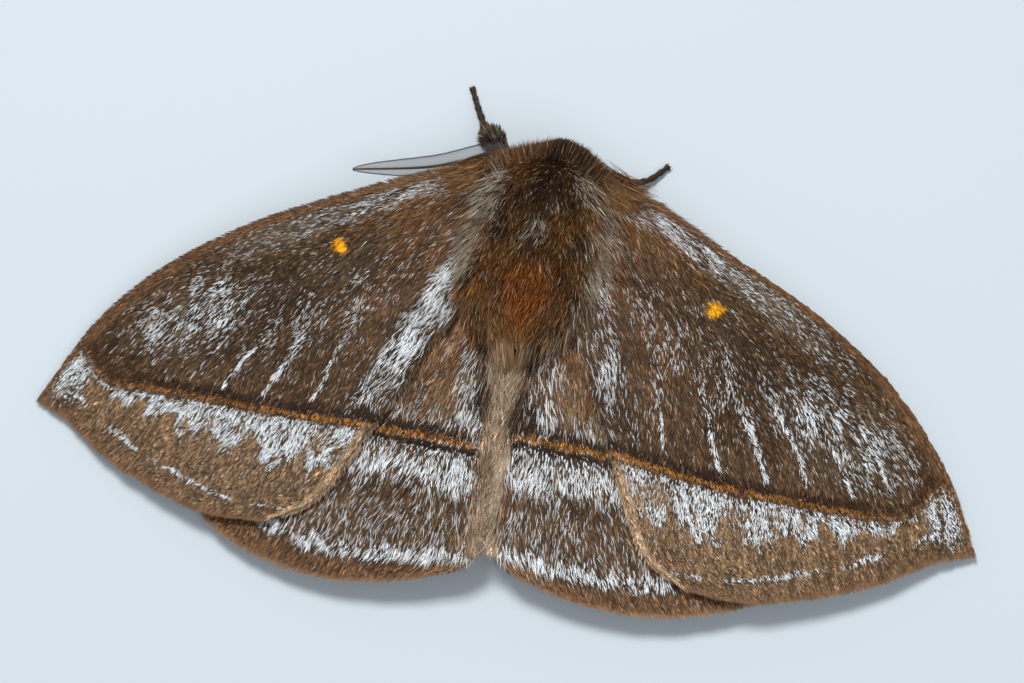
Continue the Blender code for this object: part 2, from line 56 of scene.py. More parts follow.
# The solids' own sizes: where the left eye's middle lies in the animal's axes ties the two frames together.
LEFT_EYE = np.array((1.1, -7.0, 4.3))
EYE_LOW, EYE_HIGH = (np.array(corner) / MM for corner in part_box("eye_left"))
SHIFT = (EYE_LOW + EYE_HIGH) / 2 - LEFT_EYE
SHIFT[2] = 0.0

MEMBRANE = 0.55
WING_STACK = 1.1
HALF_SPAN = 46.0
ROOF_CURVE = 1.6
COSTA_DROOP = 0.25
COSTA_DROOP_REACH = 0.3
COSTA_TUCK = 0.42
INNER_SAG = 0.24
RIDGE = ((5.0, 12.0, 28.0, 36.0), (7.8, 7.4, 5.2, 4.4))
# Each wing's root, out from the middle and to the rear, and how far the wing is swept back in degrees.
ROOTS = {
    ("fore", "left"): (5.5, -3.0, 32.6),
    ("fore", "right"): (5.5, -3.0, 36.4),
    ("hind", "left"): (0.0, 0.1, 0.0),
    ("hind", "right"): (0.0, -0.45, 0.0),
}
THORAX_MIDDLE = np.array((0.0, 3.2, 6.0))
THORAX_HALF = np.array((5.6, 9.0, 4.3))
THORAX_BLUNTNESS = 2.7
HEAD_MIDDLE = np.array((-0.7, -6.7, 4.4))
HEAD_HALF = np.array((2.3, 2.0, 2.3))
EYE_RADIUS = 1.25
EYE_OUT = np.array((1.8, -0.3, -0.1))


def srgb(red, green, blue):
    """A colour on a screen's scale of 0 to 255, as the linear numbers that shaders take."""
    c = np.array((red, green, blue)) / 255.0
    return np.where(c <= 0.04045, c / 12.92, ((c + 0.055) / 1.055) ** 2.4)


PALETTE = {
    "brown": srgb(86, 66, 46),
    "dark": srgb(46, 32, 20),
    "umber": srgb(64, 45, 29),
    "rust": srgb(122, 74, 34),
    "orange": srgb(128, 70, 20),
    "gold": srgb(132, 90, 46),
    "tan": srgb(146, 117, 88),
    "buff": srgb(180, 150, 120),
    "white": srgb(236, 243, 249),
    "cream": srgb(214, 206, 188),
    "grey": srgb(150, 140, 126),
    "ash": srgb(124, 108, 88),
    "silver": srgb(186, 178, 164),
    "line": srgb(172, 114, 50),
    "border": srgb(30, 17, 9),
    "spot": srgb(255, 178, 20),
    "fringe": srgb(112, 80, 54),
}
FLOOR_COLOUR = srgb(196, 206, 214)


# Smooth curves and fields.


class Curve:
    """A smooth curve through points, read by the share of its length."""

    def __init__(self, points, samples=400):
        pts = np.array(points, float)
        step = np.linalg.norm(np.diff(pts, axis=0), axis=1)
        slope = np.empty_like(pts)
        slope[0] = (pts[1] - pts[0]) / step[0]
        slope[-1] = (pts[-1] - pts[-2]) / step[-1]
        slope[1:-1] = (pts[2:] - pts[:-2]) / (step[1:] + step[:-1])[:, None]
        ends = np.concatenate(([0.0], np.cumsum(step))) / step.sum()
        self.at = np.linspace(0, 1, samples)
        i = np.clip(np.searchsorted(ends, self.at, side="right") - 1, 0, len(step) - 1)
        t = ((self.at - ends[i]) / (ends[i + 1] - ends[i]))[:, None]
        reach = step[i][:, None]
        self.points = (
            (2 * t**3 - 3 * t**2 + 1) * pts[i]
            + (t**3 - 2 * t**2 + t) * slope[i] * reach
            + (-2 * t**3 + 3 * t**2) * pts[i + 1]
            + (t**3 - t**2) * slope[i + 1] * reach
        )

    def __call__(self, at):
        return np.stack([np.interp(at, self.at, column) for column in self.points.T], -1)

    def gap(self, x, y, every=12):
        """How far points seen from above lie from the curve."""
        near = self.points[::every]
        return np.hypot(x[:, None] - near[:, 0], y[:, None] - near[:, 1]).min(1)


def clamp(value):
    return np.clip(value, 0.0, 1.0)


def ease(value, low=0.0, high=1.0):
    """A soft step from 0 at low to 1 at high, or down the other way where low is the greater."""
    t = clamp((value - low) / (high - low))
    return t * t * (3 - 2 * t)


def bump(value, middle, half):
    """1 at the middle of a band and 0 beyond its half width, with soft sides."""
    return 1 - ease(np.abs(value - middle), half * 0.45, half * 1.35)


def oval(x, y, middle, size, slant=0.0, half=1.0):
    """1 inside an oval with soft sides, its y pushed up by a slant along x."""
    across = x - middle[0]
    return bump(np.hypot(across / size[0], (y - middle[1] - slant * across) / size[1]), 0, half)


def ripple(a, b, size, seed, waves=7):
    """Smooth irregular noise from -1 to 1, with lumps of about the given size."""
    rng = np.random.default_rng(seed)
    total = np.zeros(np.broadcast(a, b).shape)
    for _ in range(waves):
        turn = rng.uniform(0, 2 * math.pi)
        rate = 2 * math.pi / size * rng.uniform(0.45, 1.1)
        wave = rate * (math.cos(turn) * a + math.sin(turn) * b) + rng.uniform(0, 2 * math.pi)
        total = total + np.sin(wave + 1.3 * np.sin(wave * 0.43 + seed))
    return np.clip(total / math.sqrt(waves * 1.1), -1, 1)


def mix(colour, other, share):
    """Colours blended towards another one by a share for each point."""
    share = np.asarray(share)[..., None]
    return colour * (1 - share) + other * share


def tint(colour, name, share, power=1.0):
    """Colours blended towards one of the palette's, made brighter or dimmer by a power."""
    return mix(colour, PALETTE[name] * power, share)


def layered(colour, *layers):
    """Colours tinted in turn: each layer is a palette name, a share and, where it isn't 1, a power."""
    for layer in layers:
        colour = tint(colour, *layer)
    return colour


def unit(vectors):
    return vectors / np.maximum(np.linalg.norm(vectors, axis=-1, keepdims=True), 1e-9)


def column(values):
    return np.asarray(values)[:, None]


# What differs between the two sides of the animal. Places on a forewing are in the wing's own plane.

LOOKS = {
    "left": SimpleNamespace(
        # The forewing's band from leading edge to inner margin, the yellow spot, and the reddish root.
        band=(
            (41.9, -5.6), (41.1, -3.6), (40.7, -1.6), (40.5, 0.1), (40.0, 1.5), (38.9, 2.8), (37.3, 3.9),
            (35.2, 5.5), (31.3, 8.4), (26.6, 12.0), (22.0, 15.2), (18.6, 17.3), (12.6, 21.0),
        ),
        spot=(15.0, 0.2),
        warm_p=5.2,
        warm_reach=4.4,
        # The pale patch near the tip: its middle, its reach along and across, and its strength.
        patch_middle=(30.2, -0.3),
        patch_size=(7.0, 3.7),
        patch_power=0.22,
        # The white along the leading edge, at COSTA_STOPS, along the inner margin, and beyond the band.
        costa_white=(0.34, 0.30, 0.10, 0.04, 0.0),
        strip_hem=0.75,
        strip_power=0.20,
        zone_power=0.60,
        zone_patchy=0.35,
        # Each streak of white scales on a vein: its fanned line, start, end, width and strength.
        streaks=(
            (0.265, 0.76, 0.85, 0.10, 0.22),
            (0.406, 0.58, 0.79, 0.10, 0.26),
            (0.520, 0.55, 0.75, 0.18, 0.62),
            (0.665, 0.52, 0.73, 0.20, 0.72),
            (0.845, 0.42, 0.64, 0.18, 0.60),
        ),
        # The hindwing's band: its place and slope, where it comes out, and the pale place beside it.
        hind_band=(22.3, -0.065),
        hind_band_start=(1.8, 2.5),
        near_x=2.6,
        # The dark groove beside the long middle hair, as places along and out, and the blot at its end.
        groove=((10.5, 14.1, 17.3, 19.0), (3.4, 2.9, 2.3, 2.0)),
        blot_x=(2.3, 0.8),
        blot_y=(17.6, 1.6),
        blot_power=0.8,
        # The pale hair of the shoulder: where it runs, seen from above, its reach and its strength.
        shoulder=Curve(((4.0, -4.2), (4.2, -2.4), (4.6, 0.2), (5.3, 2.4), (6.2, 4.6), (7.0, 6.6))),
        shoulder_reach=2.0,
        shoulder_power=0.58,
        # The long hair of the middle: its breadth at MIDDLE_STOPS, its turn, tone and pale share.
        middle_reach=(0.20, 0.15, 0.060, 0.045),
        middle_turn=0.14,
        middle_tone=0.50,
        middle_blend=(2.0, 3.0),
        middle_white=0.20,
        # How far the hair of the leading edge fans out.
        costa_fan=0.62,
    ),
    "right": SimpleNamespace(
        band=(
            (41.6, -5.6), (40.7, -3.4), (40.4, -1.6), (40.5, 0.0), (40.4, 1.5), (39.6, 3.1), (37.6, 4.9),
            (34.9, 6.9), (29.1, 10.9), (25.7, 13.0), (21.9, 15.0), (17.9, 17.0), (12.0, 20.5),
        ),
        spot=(15.3, 0.85),
        warm_p=3.4,
        warm_reach=3.4,
        patch_middle=(31.6, 0.6),
        patch_size=(7.6, 4.2),
        patch_power=0.17,
        costa_white=(0.44, 0.40, 0.17, 0.09, 0.0),
        strip_hem=0.35,
        strip_power=0.0,
        zone_power=0.50,
        zone_patchy=0.50,
        streaks=(
            (0.20, 0.70, 0.86, 0.12, 0.45),
            (0.32, 0.68, 0.84, 0.14, 0.55),
            (0.44, 0.58, 0.79, 0.15, 0.60),
            (0.57, 0.50, 0.75, 0.22, 0.70),
            (0.72, 0.48, 0.70, 0.20, 0.65),
            (0.90, 0.30, 0.64, 0.13, 0.60),
        ),
        hind_band=(21.25, 0.07),
        hind_band_start=(0.1, 0.7),
        near_x=2.1,
        groove=((10.5, 15.4, 18.6, 20.0), (2.4, 1.5, 1.0, 0.9)),
        blot_x=(1.6, 1.5),
        blot_y=(19.3, 1.5),
        blot_power=1.0,
        shoulder=Curve(((-3.8, -4.2), (-5.0, -1.6), (-5.9, 1.6), (-6.0, 5.0), (-5.7, 9.0), (-4.8, 13.0))),
        shoulder_reach=1.7,
        shoulder_power=0.42,
        middle_reach=(0.20, 0.10, 0.008, 0.006),
        middle_turn=0.26,
        middle_tone=0.72,
        middle_blend=(0.9, 1.6),
        middle_white=0.40,
        costa_fan=0.26,
    ),
}
COSTA_STOPS = (2, 9, 15, 24, 31)
MIDDLE_STOPS = (0.0, 0.2, 0.45, 1.0)


# The wings' outlines, in each wing's own plane, and the surfaces that they span.

PLANS = {
    "fore": SimpleNamespace(
        costa=(
            (-1.5, -0.6), (4.0, -2.9), (13.0, -4.9), (22.5, -6.4), (32.0, -6.2), (39.5, -4.0), (46.5, 0.0),
        ),
        termen=((46.5, 0.0), (44.5, 3.0), (42.4, 8.0), (39.4, 12.8), (35.6, 17.4), (30.6, 20.8)),
        inner=((0.5, 8.5), (9.2, 11.8), (15.2, 15.2), (22.0, 19.0), (26.0, 20.9), (30.6, 20.8)),
        base=((-1.5, -0.6), (-0.6, 4.0), (0.5, 8.5)),
        veins=(0.07, 0.20, 0.32, 0.44, 0.57, 0.72, 0.90),
        gather=0.8,
        below=0.0,
        skin_grid=(70, 90),
        scales=72500,
        under_scales=4200,
        fringe=0.50,
    ),
    "hind": SimpleNamespace(
        costa=((3.4, 1.6), (11.0, 5.5), (20.0, 13.0), (26.5, 20.0), (28.6, 25.6)),
        termen=((28.6, 25.6), (27.0, 30.0), (22.4, 33.1), (15.0, 34.9), (8.0, 34.5), (2.9, 33.2)),
        inner=((0.35, 8.0), (0.35, 14.0), (0.35, 22.0), (0.6, 29.6), (1.2, 31.8), (2.9, 33.2)),
        base=((3.4, 1.6), (1.8, 4.6), (0.35, 8.0)),
        veins=(0.10, 0.24, 0.38, 0.52, 0.66, 0.80, 0.92),
        gather=0.3,
        below=WING_STACK,
        skin_grid=(60, 76),
        scales=37000,
        under_scales=3000,
        fringe=0.55,
    ),
}


def roof(x, y):
    """Height of the spread forewings over the floor: a low roof with its ridge along the body."""
    ridge = np.interp(y, *RIDGE)
    return MEMBRANE + (ridge - MEMBRANE) * (1 - np.minimum(1.0, np.abs(x) / HALF_SPAN) ** ROOF_CURVE)


class Wing:
    """A wing's outline, the surface that it spans, and how its scales lie.

    Places on it go by a fanned line, from 0 at the costa to 1 at the inner margin, and by the share along,
    from 0 at the base to 1 at the termen.
    """

    def __init__(self, kind, side, number):
        self.kind, self.side, self.number = kind, side, number
        self.name = f"{kind}wing_{side}"
        self.plan, self.look = PLANS[kind], LOOKS[side]
        self.costa, self.termen = Curve(self.plan.costa), Curve(self.plan.termen)
        self.inner, self.base = Curve(self.plan.inner), Curve(self.plan.base)
        self.band = Curve(self.look.band, 240).points

    def across(self, line, along):
        """The share across of a line that starts near the costa at the root and fans out to the termen."""
        return line * (1 - self.plan.gather * (1 - line**16) * (1 - along) ** 2)

    def patch(self, across, along):
        """A Coons patch over the four edges, in the wing's own plane."""
        u, v = np.asarray(across)[..., None], np.asarray(along)[..., None]
        front = (1 - v) * self.base(0.0) + v * self.termen(0.0)
        rear = (1 - v) * self.base(1.0) + v * self.termen(1.0)
        lengthwise = (1 - u) * self.costa(along) + u * self.inner(along)
        crosswise = (1 - v) * self.base(across) + v * self.termen(across)
        return lengthwise + crosswise - ((1 - u) * front + u * rear)

    def flat(self, line, along):
        return self.patch(self.across(line, along), along)

    def surface(self, across, along):
        """The top of the membrane, without its veins, in the animal's axes."""
        out, rear, sweep = ROOTS[self.kind, self.side]
        turn = math.radians(sweep)
        p, q = np.moveaxis(self.patch(across, along), -1, 0)
        if (self.kind, self.side) == ("fore", "right"):
            q = q + COSTA_TUCK * ease(q, 2.0, -4.0) * ease(p, 2.0, 14.0) * ease(p, 45.0, 34.0)
        x = SIDES[self.side] * (out + p * math.cos(turn) - q * math.sin(turn))
        y = rear + p * math.sin(turn) + q * math.cos(turn)
        droop = sag = 0.0
        if self.kind == "fore":
            droop = COSTA_DROOP * (1 - ease(np.asarray(across) / COSTA_DROOP_REACH))
            sag = INNER_SAG * ease(np.asarray(across), 0.84, 1.0)
        z = MEMBRANE + (roof(x, y) - MEMBRANE) * (1 - droop) - self.plan.below - sag
        return np.stack((x, y, np.maximum(z, MEMBRANE)), -1)

    def pose(self, line, along, step=0.004):
        """Points with the way that scales lie, the way across and the way up."""

        def at(a, b):
            return self.surface(self.across(a, b), b)

        ahead = unit(at(line, np.minimum(along + step, 1.0)) - at(line, np.maximum(along - step, 0.0)))
        beside = at(np.minimum(line + step, 1.0), along) - at(np.maximum(line - step, 0.0), along)
        up = unit(np.cross(ahead, beside))
        up = up * np.sign(up[..., 2:3])
        return at(line, along), ahead, np.cross(up, ahead), up

    def cell(self, line):
        """Where a line lies between its two nearest veins, from 0 to 1."""
        veins = np.array((0.0, *self.plan.veins, 1.0))
        i = np.clip(np.searchsorted(veins, line, side="right") - 1, 0, len(veins) - 2)
        return (line - veins[i]) / (veins[i + 1] - veins[i])

    def chord(self, along):
        return np.linalg.norm(self.costa(along) - self.inner(along), axis=-1)

    def scatter(self, count, rng, cells=160):
        """Random places on the wing, even by area."""
        grid = np.linspace(0, 1, cells + 1)
        point = self.flat(*np.meshgrid(grid, grid, indexing="ij"))
        one, two = point[1:, 1:] - point[:-1, :-1], point[1:, :-1] - point[:-1, 1:]
        area = np.abs(one[..., 0] * two[..., 1] - one[..., 1] * two[..., 0]).ravel()
        pick = rng.choice(area.size, size=count, p=area / area.sum())
        return (pick // cells + rng.random(count)) / cells, (pick % cells + rng.random(count)) / cells

    def marks(self, line, along):
        """Ground colour, share of white scales, length of hair, and how calm the coat lies."""
        paint = forewing_marks if self.kind == "fore" else hindwing_marks
        return paint(self, line, along, self.flat(line, along))


WINGS = {
    (kind, side): Wing(kind, side, 10 * i + k) for i, side in enumerate(SIDES) for k, kind in enumerate(PLANS)
}


# The wings' markings.


def band_distance(route, p, q, every=4):
    """Distance out from the forewing's band, negative on the side of the root, and how far along the band."""
    best = np.full(p.shape, 1e9)
    out = np.zeros(p.shape)
    share = np.zeros(p.shape)
    for i in range(0, len(route) - every, every):
        start, run = route[i], route[min(i + every, len(route) - 1)] - route[i]
        t = clamp(((p - start[0]) * run[0] + (q - start[1]) * run[1]) / (run @ run))
        dp, dq = p - start[0] - t * run[0], q - start[1] - t * run[1]
        gap = np.hypot(dp, dq)
        near = gap < best
        best = np.where(near, gap, best)
        out = np.where(near, -np.sign(run[0] * dq - run[1] * dp) * gap, out)
        share = np.where(near, (i + every * t) / len(route), share)
    return out, share


def forewing_marks(wing, line, along, flat):
    p, q = flat[:, 0], flat[:, 1]
    look = wing.look
    across = wing.across(line, along)
    chord = wing.chord(along)
    from_costa = (q - np.interp(p, *wing.costa.points.T)) * np.interp(p, (30, 44), (1.0, 0.72))
    from_costa = np.maximum(from_costa, 0)
    rim = np.linalg.norm(flat - wing.termen(clamp(across)), axis=1)
    d, share = band_distance(wing.band, p, q)
    glow = ease(share, 0.35, 0.95)
    fibre = ripple(line * 60, along * 14, 3.0, 5)
    cloud = ripple(p, q, 9.0, 3)
    fleck = ripple(p, q, 1.6, 8)
    clump = ripple(line * 46, along * 26, 2.2, 9)

    # Inside the band: a warm root, a dark disc, white along the leading edge, a pale patch and speckles.
    warm = oval(p, q, (look.warm_p, 3.0), (look.warm_reach, 2.5))
    warm = clamp(warm + bump(across, 0.62, 0.2) * 0.35 * ease(p, 28, 4))
    streaked = bump(from_costa, np.interp(p, (6, 17), (1.5, 2.1)), np.interp(p, (6, 17), (0.95, 1.5)))
    streaked = streaked * ease(p, 0.0, 3)
    patch = oval(p, q, look.patch_middle, look.patch_size, -0.12, 0.95)
    speckle = oval(p, q, (18.5, 5.74), (10.0, 2.8), 0.12, 0.95)
    white = 0.015 + 0.015 * fibre + streaked * np.interp(p, COSTA_STOPS, look.costa_white) * (1 + 0.8 * clump)
    white = white + patch * np.clip(look.patch_power + 0.18 * fleck + 0.16 * clump, 0.02, 1)
    white = white + speckle * clamp(0.04 + 0.08 * fleck + 0.08 * clump)

    # White streaks on the veins, and a white strip along the inner margin.
    broken = 1 + 0.4 * ripple(along * 60, line * 4, 3.0, 33)
    for vein, start, end, width, power in look.streaks:
        off = (across - wing.across(vein, along)) * chord
        spread = width * (1 + 3.2 * ease(end - along, 0.08, 0.24))
        reach = ease(along, start - 0.10, start + 0.04) * (1 - ease(along, end - 0.004, end + 0.008))
        white = white + bump(off, 0, spread) * reach * power * (width / spread) ** 1.3 * broken
    strip_edge = np.interp(along, (0.05, 0.2, 0.36, 0.6), (0.60, 0.70, 0.80, 0.885))
    strip = ease((across - strip_edge) * chord, -0.6, 0.9) * ease(along, 0.0, 0.10)
    strip = strip * (1 - look.strip_hem * ease(across, 0.955, 1.0) * ease(along, 0.62, 0.4))
    white = white + strip * np.clip(look.strip_power + 0.16 * fibre + 0.09 * clump, 0.03, 1)
    white = white * (1 - 0.85 * ease(d, -1.3, -0.5) * (1 - 0.4 * strip))
    colour = layered(
        PALETTE["brown"],
        ("umber", 0.45 + 0.35 * cloud),
        ("rust", clamp(warm * (0.44 + 0.5 * fibre))),
        ("dark", 0.48 * bump(q + 0.08 * p, 3.2, 3.4) * bump(p, 20, 17)),
        ("umber", 0.3 * ease(d, -3.2, -0.4)),
        ("fringe", 0.4 * ease(d, -1.9, -0.9) * (1 - glow)),
        ("grey", 0.4 * streaked * ease(p, 30, 16) * ease(p, 6, 14), 0.8),
        ("dark", 0.6 * streaked * ease(p, 14, 6)),
        ("ash", 0.3 * patch, 0.75),
        ("dark", 0.35 * strip),
    )

    # Beyond the band: a scalloped white zone, a plain tan one, a broken white row and a pale tip.
    lobe = 0.55 + 0.45 * np.sin(math.pi * clamp(wing.cell(line))) ** 0.8
    depth = np.interp(line, (0.0, 0.15, 0.3, 0.45, 0.6, 0.75, 1.0), (0.6, 0.9, 2.1, 3.1, 4.6, 5.0, 5.4))
    depth = depth * lobe * (1 + 0.16 * fleck + 0.1 * cloud)
    zone = (1 - ease(d, depth * 0.72, depth * 1.12)) * ease(d, 0.35, 0.7)
    brown_patch = ease(ripple(p * 1.6, q, 5.0, 12), 0.0, 0.6) * ease(line, 0.45, 0.65)
    brown_patch = brown_patch * ease(d, 0.9, 1.8) * (1 - ease(d, 3.2, 4.2))
    outer_white = zone * clamp(look.zone_power + 0.16 * fibre + 0.15 * fleck)
    outer_white = outer_white * (1 - look.zone_patchy * brown_patch) + 0.02 + 0.02 * fleck
    dash = ease(ripple(line * 70, line * 3, 5.0, 21), -0.6, 0.1) * ease(line, 0.03, 0.12)
    outer_white = outer_white + bump(rim, 1.65 + 0.15 * fleck, 0.24) * dash * 0.60
    tip = oval(p, q, (41.8, -1.1), (3.3, 2.0), 0.6)
    outer_white = np.maximum(outer_white * ease(rim, 0.7, 1.1), tip * (0.60 + 0.3 * fibre))
    hem = ease((1 - across) * chord, 0.75, 0.35) * ease(line, 0.9, 0.95)
    outer_colour = layered(
        PALETTE["tan"],
        ("brown", 0.30 + 0.20 * fleck + 0.15 * cloud),
        ("umber", 0.25 * (1 - ease(rim, 0.6, 1.6))),
        ("dark", 0.5 * oval(p, q, (44.3, 2.0), (1.6, 0.8))),
        ("buff", hem * 0.85),
    )
    colour = np.where(column(d < 0), colour, outer_colour)
    white = np.where(d < 0, white, outer_white * (1 - 0.85 * hem))

    # The smooth reddish leading edge, broader towards the tip, the band itself, and the spot.
    broad = np.interp(p, (0, 20, 36, 41, 44), (0.55, 0.65, 1.0, 0.8, 0.35))
    edge = 1 - ease(from_costa, broad * 0.7, broad * 1.3)
    fade = 1 - 0.9 * ease(0.36 - share, 0.0, 0.2)
    ragged = d + 0.10 * ripple(p, q, 0.9, 31)
    border = np.maximum(bump(ragged, -0.70, 0.52), bump(ragged, 0.36, 0.22) * 0.8)
    core = bump(ragged, -0.06, 0.26)
    gap_p, gap_q = p - look.spot[0], q - look.spot[1]
    uneven = 0.14 * ripple(p, q, 0.9, 44)
    yellow = bump(np.hypot(gap_p / (0.92 - 0.16 * gap_q), gap_q / 1.22) + uneven, 0, 0.72)
    white = white * (1 - 0.92 * edge) * (1 - np.maximum(border, core) * 0.9) * (1 - yellow)
    colour = layered(
        colour,
        ("fringe", edge * 0.8),
        ("border", border * (0.45 + 0.35 * fade) * (1 - 0.6 * edge)),
        ("line", core * fade * 0.9, column(0.55 + 0.42 * glow)),
        ("spot", yellow),
        ("dark", np.clip(white * 1.1, 0, 0.6) * (1 - np.maximum(core, yellow))),
    )
    length = 1.0 + 0.55 * ease(across, 0.55, 0.95) * ease(along, 0.7, 0.3) + 0.5 * ease(p, 12, 2)
    length = length - 0.42 * ease(d, 0.4, 1.5) * (1 - 0.5 * zone)
    length = length * (1 - 0.5 * bump(d, -0.1, 0.9)) * (1 - 0.5 * yellow)
    return colour, np.clip(white, 0, 0.9), length, np.maximum(yellow, 1 - ease(from_costa, 0.3, 1.6))


def dark_groove(look, x, y):
    """The share of black beside the long hair of the middle, by distance out and place along the body."""
    groove_y, groove_x = look.groove
    groove = bump(x - np.interp(y, groove_y, groove_x), 0, 0.60)
    groove = groove * ease(y, 9.6, 11.2) * (1 - ease(y, 18.0, 20.0))
    groove = groove * clamp(0.75 + 0.5 * ripple(y, y * 0, 2.4, 29))
    return np.maximum(bump(x, *look.blot_x) * bump(y, *look.blot_y) * look.blot_power, groove)


def hindwing_marks(wing, line, along, flat):
    x, y = flat[:, 0], flat[:, 1]
    look = wing.look
    rim = np.linalg.norm(flat - wing.termen(clamp(wing.across(line, along))), axis=1)
    level, slope = look.hind_band
    d = y - (level + slope * x) - 0.10 * ripple(x, y, 1.2, 61)
    inside = d < 0
    fibre = ripple(line * 50, along * 12, 3.0, 15)
    cloud = ripple(x, y, 7.0, 13)
    fleck = ripple(x, y, 1.5, 18)
    clump = ripple(line * 46, along * 26, 2.2, 19)

    # The ground, a pale place beside the middle, and the white zone with its dark stripe beyond the band.
    near = bump(x, look.near_x, 2.3) * ease(y, 10.5, 15.5)
    inner_white = 0.02 + 0.22 * near + 0.03 * fibre + 0.03 * clump
    white = np.where(inside, inner_white, 0.42 + 0.10 * fibre + 0.08 * clump)
    faded = ease(d + 0.8 * cloud, 3.2, 6.0)
    stripe = bump(d + 0.7 * cloud, 5.3, 1.2) * (0.7 + 0.4 * fleck)
    white = white * (1 - 0.74 * faded) + np.where(inside, 0.14 * ease(d, -4.0, -1.5), 0) - 0.12 * stripe

    # The white row and the brown rim, the groove, and the band.
    corner = (1 - ease(x, 0.5, 1.7)) * ease(y, 24.5, 28.0)
    row = bump(rim, 2.35 + 0.45 * fleck, 0.66) * (1 - corner)
    edge = np.maximum(1 - ease(rim, 1.0, 1.7), corner)
    black = dark_groove(look, x, y)
    clear = ease(x, *look.hind_band_start)
    border = np.maximum(bump(d, -0.85, 0.50), bump(d, 0.55, 0.36)) * clear
    core = bump(d, -0.14, 0.36) * clear
    white = (white + row * (0.40 + 0.15 * clump)) * (1 - 0.95 * edge)
    white = white * (1 - 0.7 * black) * (1 - np.maximum(border, core) * 0.93)
    colour = layered(
        PALETTE["brown"],
        ("tan", clamp(0.34 + 0.25 * cloud + 0.1 * fibre)),
        ("rust", clamp(0.35 * ease(y, 22, 12) + 0.2 * fibre)),
        ("umber", clamp(0.35 * faded * (1 + cloud))),
        ("dark", clamp(0.62 * stripe)),
        ("umber", 0.25 * near * inside),
        ("fringe", edge * 0.75),
        ("border", 0.85 * black),
        ("border", border * 0.92),
        ("line", core * (0.78 + 0.2 * fleck)),
        ("dark", np.clip(white, 0, 0.6) * (1 - core)),
    )
    length = 1.20 + 0.45 * ease(x, 9, 1) - 0.30 * (1 - ease(rim, 0.5, 4))
    length = length * (1 - 0.62 * bump(d, -0.1, 1.1))
    return colour, np.clip(white, 0, 0.9), length, np.zeros(len(x))


# Mesh making.


def add_mesh(name, points, faces, mat, slot, tones=None, patches=None, smooth=True):
    """A piece from millimetre points and triangles, with each point's colour and place on the bake map."""
    mesh = bpy.data.meshes.new(name)
    verts = (np.asarray(points).reshape(-1, 3) + SHIFT) * MM
    tris = np.asarray(faces, dtype=np.int32).reshape(-1, 3)
    mesh.vertices.add(len(verts))
    mesh.vertices.foreach_set("co", verts.astype(np.float32).ravel())
    mesh.loops.add(tris.size)
    mesh.loops.foreach_set("vertex_index", tris.ravel())
    mesh.polygons.add(len(tris))
    mesh.polygons.foreach_set("loop_start", np.arange(0, tris.size, 3, dtype=np.int32))
    mesh.update(calc_edges=True)
    if tones is not None:
        rgba = np.ones((len(verts), 4), np.float32)
        rgba[:, :3] = np.asarray(tones).reshape(-1, 3)
        mesh.color_attributes.new("tone", "FLOAT_COLOR", "POINT").data.foreach_set("color", rgba.ravel())
    if patches is not None:
        uv = np.asarray(patches, np.float32).reshape(-1, 2)[tris.ravel()]
        mesh.uv_layers.new(name="OFBake").uv.foreach_set("vector", uv.ravel())
    mesh.polygons.foreach_set("use_smooth", np.full(len(tris), smooth))
    mesh.materials.append(mat)
    obj = bpy.data.objects.new(name, mesh)
    bpy.context.scene.collection.objects.link(obj)
    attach(obj, "root")
    return obj


# A scale or a fine hair is a lens of four points, a stout hair a spindle of five. Each has its triangles, the
# painted shade of its points, dark at the root where tufts overlap and light at the tip as a painted
# highlight, and their places on a small patch of the bake map.
TUFT_FACES = {
    4: np.array(((0, 2, 1), (1, 2, 3), (0, 3, 2), (0, 1, 3))),
    5: np.array(((0, 2, 1), (0, 3, 2), (0, 1, 3), (1, 2, 4), (2, 3, 4), (3, 1, 4))),
}
TUFT_PAINTED_SHADE = {4: np.array((0.35, 0.92, 0.92, 1.45)), 5: np.array((0.35, 0.88, 0.88, 0.88, 1.5))}
SCALE_PAINTED_SHADE = np.array((0.30, 0.84, 0.84, 1.45))
PATCH_SIZE = 0.003
TUFT_PATCH = {
    4: np.array(((0.0, -0.5), (-0.5, 0.0), (0.5, 0.0), (0.0, 0.5))) * PATCH_SIZE,
    5: np.array(((0, -0.5), (-0.5, 0.0), (0, 0.1), (0.5, 0.0), (0, 0.5))) * PATCH_SIZE,
}
COAT_LIMIT = 190000
ACROSS_HAIR = np.array((0.13, 0.21, 0.97))


def slivers(root, ahead, beside, up, length, width, lift, sink=0.0):
    """Thin lens-shaped scales."""
    length, width, lift = (column(value) for value in (length, width, lift))
    middle = root + ahead * length * 0.45 + up * lift * 0.8
    half = beside * width / 2
    return np.stack((root - up * sink, middle + half, middle - half, root + ahead * length + up * lift), 1)


def strands(path, width):
    """Stout hairs: three-sided spindles pointed at both ends, bent where the middle of their path lies."""
    width = column(width)
    run = unit(path[:, 3] - path[:, 0])
    beside = unit(np.cross(run, ACROSS_HAIR))
    over = np.cross(beside, run)
    middle = path[:, 1] * 0.55 + path[:, 2] * 0.45
    turns = [math.radians(turn) for turn in (-30, 210, 90)]
    ring = [middle + (beside * math.cos(a) * 0.5 + over * math.sin(a) * 0.35) * width for a in turns]
    return np.stack((path[:, 0], *ring, path[:, 3]), 1)


def blades(path, width, rng):
    """Fine hairs: lens shapes pointed at both ends, bowed a little towards the middle of their path."""
    run = unit(path[:, 3] - path[:, 0])
    beside = unit(np.cross(ACROSS_HAIR, run))
    over = np.cross(run, beside)
    tilt = column(rng.normal(0, 0.4, len(path)))
    half = (beside * np.cos(tilt) + over * np.sin(tilt)) * column(width) / 2
    middle = 0.7 * (path[:, 0] + path[:, 3]) / 2 + 0.3 * (path[:, 1] * 0.55 + path[:, 2] * 0.45)
    return np.stack((path[:, 0], middle + half, middle - half, path[:, 3]), 1)


